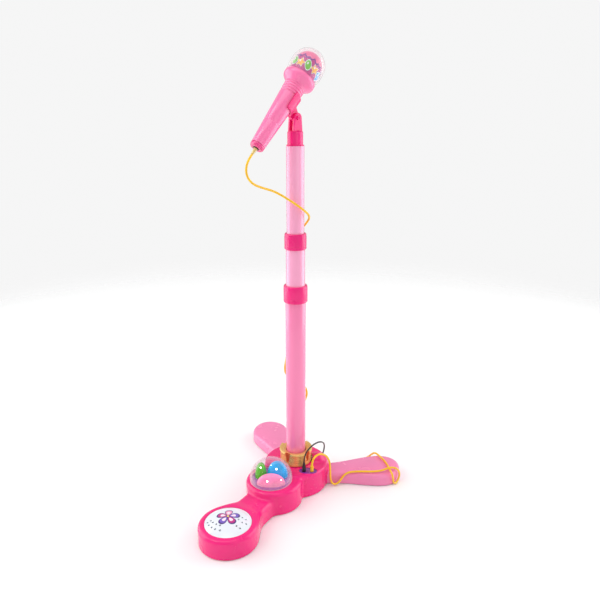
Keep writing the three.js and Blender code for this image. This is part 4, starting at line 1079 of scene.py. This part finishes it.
handle = turned_ring("handle", outside, 0.45, mic_place, angles=turns, radius_at=with_seam, crease=45)
for t in SCREWS_AT:
    cut(handle, rod(2.6, 8.9, 22, mic_place @ move(0, 0, t) @ ABOUT_Y.inverted(), 32))
finish_piece(handle, "microphone", "mic_pink", stands_for=["handle_front", "handle_back"])
for k, t in enumerate(SCREWS_AT):
    screw(f"handle_screw_{k + 1}", mic_place @ move(-11, 0, t) @ ABOUT_Y,
          2.2, 1.5, 1.05, 15, "microphone")
tail_line = [(3.3, 0), (8.2, 0), (8.6, 0.5), (9.6, 0), (10.9, 1.4), (11.3, 3.2), (11.3, 6), (8, 6), (8, 9),
             (3.3, 9)]
finish_piece(turned_ring("tail_cap", tail_line, 0.5, mic_place), "microphone", "hot_pink", "tail_pink")
gland = [(0, -10.4), (2.0, -10.4)] + [(2.05 + 0.95 * i / 6 - d, -10.2 + 8.4 * (i + s) / 6) for i in range(6)
                                      for s, d in ((0, 0), (0.55, 0), (0.6, 0.3), (0.95, 0.3))] \
    + [(3, -1.6), (3, 9.3), (5, 9.3), (5, 12), (0, 12)]
finish_piece(lathe("cord_gland", gland, mic_place, 48), "microphone", "cream_plastic")
gland_line = [(3.05, -0.9), (4.9, -0.9), (5.2, 0.3), (5.2, 0.9), (3.05, 0.9)]
finish_piece(turned_ring("gland_ring", gland_line, 0.25, mic_place, 48), "microphone", "black_plastic")

cup_line = [(4, 116.3), (17, 116.3), (17.2, 117.2), (17.0, 117.8), (17.6, 118.4), (18.9, 119.8), (20.9, 121.6),
            (23.2, 123.4), (25.0, 125.4), (25.7, 127.4), (25.8, 129.6), (25.7, 131), (25.1, 131.5), (25.1, 132),
            (25.6, 132.4), (25.4, 133), (23, 133), (22.4, 129.5), (19.5, 125.5), (14, 121), (4, 121)]
finish_piece(turned_ring("head_cup", cup_line, 0.8, mic_place, 128), "microphone", "mic_pink")


def head_line(r, top, shoulder):
    return crown(r, top - shoulder, shoulder, 18, 0.92, 0.96)


dome_foot = soften([(24.1, 133.3), (25.5, 133.3), (26.5, 139.3), (27.2, 148)], 0.6)[1:]
dome_outer = dome_foot + head_line(27.3, 183, 155)
dome_inner = head_line(25.8, 181.5, 155)[::-1] + [(25.7, 148), (25.0, 139.3), (24.1, 133.3)]
head_dome = lathe("head_dome", dome_outer + dome_inner, mic_place, 128, closed=True)
finish_piece(head_dome, "microphone", "clear_shell", "clear_head")
ball = lathe("inner_ball", [(0, 133.4), (22.7, 133.4), (23.3, 148)] + head_line(23.3, 177.5, 153), mic_place, 128)
finish_piece(ball, "microphone", "mic_pink", "ball_pink")

BAND_R, BAND_LOW = 23.6, 133.8


def flame_top(a):
    """The printed band's upper edge: a row of uneven tongues."""
    x = a / (2 * math.pi)
    first, second = (x * 17) % 1, (x * 9 + 0.3) % 1
    return 156.5 + 3.4 * (1 - abs(2 * first - 1)) ** 1.5 + 2.2 * (1 - abs(2 * second - 1))


def on_band(u, v, lift):
    a = u / BAND_R
    r = BAND_R + lift - max(0, 148 - v) * 0.035 - max(0, v - 153) ** 2 * 0.0125
    return tuple(mic_place @ Vector((r * math.cos(a), r * math.sin(a), v)))


def printed_band(name, shrink, lift, look, columns=340, rows=8):
    def column(j, layer):
        a = 2 * math.pi * j / columns
        height = flame_top(a) - shrink - BAND_LOW
        return [on_band(a * BAND_R, BAND_LOW + height * k / rows, layer) for k in range(rows + 1)]

    layers = [[column(j, layer) for j in range(columns)] for layer in (lift, lift - 0.15)]
    finish_piece(thick_sheet(name, layers, True, crease=60), "microphone", look)


printed_band("print_flames", 0, 0.0, "ink_plum")
printed_band("print_flames_inner", 3.2, 0.1, "ink_magenta")


def star(r, centre, turn=0.0, points=5, waist=0.5):
    made = []
    for i in range(points * 8):
        t = i / 8 % 1
        share = abs(2 * t - 1)
        q = r * (waist + (1 - waist) * share ** 1.3)
        a = turn + 2 * math.pi * i / (points * 8)
        made.append((centre[0] + q * math.cos(a), centre[1] + q * math.sin(a)))
    return made


def blob(r, centre, turn=0.0, lobes=3, depth=0.16):
    return [(centre[0] + r * (1 + depth * math.cos(lobes * t + turn)) * math.cos(t) * 0.66,
             centre[1] + r * (1 + depth * math.cos(lobes * t + turn)) * math.sin(t))
            for t in (2 * math.pi * i / 48 for i in range(48))]


PRINTS = [("green", blob, 2), ("orange", star, 5), ("blue", blob, 4), ("pink", star, 5), ("yellow", blob, 3)]
PRINT_COUNT = 12
for k in range(PRINT_COUNT):
    ink, shape, n = PRINTS[k % len(PRINTS)]
    at = (2 * math.pi * BAND_R * k / PRINT_COUNT, 146.0 + 1.2 * math.sin(2.1 * k))
    turn = 0.5 * math.sin(1.7 * k) + math.pi / 2
    layers = (("rim", 8.8, 0.2, "navy"), ("edge", 8.3, 0.28, "white"), ("fill", 7.1, 0.36, ink))
    for label, r, lift, tone in layers:
        outline = shape(r, at, turn, n)
        printed = patch(f"print_{k + 1}_{label}", outline, at, on_band, lift + 0.03 * (k % 2), 0.12, 3)
        finish_piece(printed, "microphone", "ink_" + tone)
    spot_at = (at[0] - 1.6, at[1] + 1.8)
    finish_piece(patch(f"print_{k + 1}_spot", ellipse(1.2, 2.0, 16, spot_at), spot_at, on_band, 0.48, 0.1, 2),
                 "microphone", "ink_white")

# ---------- the CAD nodes that stay ----------
for name, node in frame["nodes"].items():
    if not node.hide_render:
        node.data.materials.clear()
        node.data.materials.append(LOOK[SLOTS[name]])

# ---------- floor, world and lights ----------
floor = prism("floor", ellipse(2600, 2600, 96), -20, 0)
n = Nodes("floor")
tone = n.mix(n.noise(3), (0.93, 0.93, 0.935, 1), (0.96, 0.96, 0.96, 1))
far = n.add("ShaderNodeVectorMath", {0: n.position()}, operation="LENGTH").outputs["Value"]
floor.data.materials.append(n.principled(base_color=tone, roughness=n.span(n.noise(8), 0.55, 0.7),
                                         alpha=n.span(far, 1, 0, 0.6, 1.9), emission_color=(1, 1, 1, 1),
                                         emission_strength=n.span(far, 0.02, 0.3, 0.2, 1.4)))

world = bpy.data.worlds.new("studio")
world.use_nodes = True
links = world.node_tree.links
background = world.node_tree.nodes["Background"]
background.inputs["Color"].default_value = (1, 1, 1, 1)
seen = world.node_tree.nodes.new("ShaderNodeLightPath").outputs["Is Camera Ray"]
strength = world.node_tree.nodes.new("ShaderNodeMapRange")
strength.inputs["To Min"].default_value, strength.inputs["To Max"].default_value = 0.58, 0.92
links.new(seen, strength.inputs["Value"])
links.new(strength.outputs[0], background.inputs["Strength"])
scene.world = world
scene.view_settings.view_transform = "Standard"


def area_light(name, place, target, size, power):
    data = bpy.data.lights.new(name, "AREA")
    data.shape, data.size, data.size_y, data.energy = "RECTANGLE", *size, power
    light = bpy.data.objects.new(name, data)
    light.location = place
    light.rotation_euler = (Vector(target) - Vector(place)).to_track_quat("-Z", "Y").to_euler()
    scene.collection.objects.link(light)


area_light("key", (-0.8, -1.2, 2.1), (0, 0, 0.3), (0.9, 0.9), 8)
area_light("fill", (1.7, -0.9, 1.0), (0, 0, 0.3), (1.2, 1.2), 3)
area_light("top_panel", (0.15, -0.35, 1.7), (0, -0.1, 0), (1.1, 0.8), 4)
area_light("left_panel", (-1.15, -0.48, 0.6), (0, 0, 0.4), (1.2, 1.5), 11)
area_light("right_panel", (0.92, 0.85, 0.6), (0, 0, 0.4), (1.2, 1.5), 11)
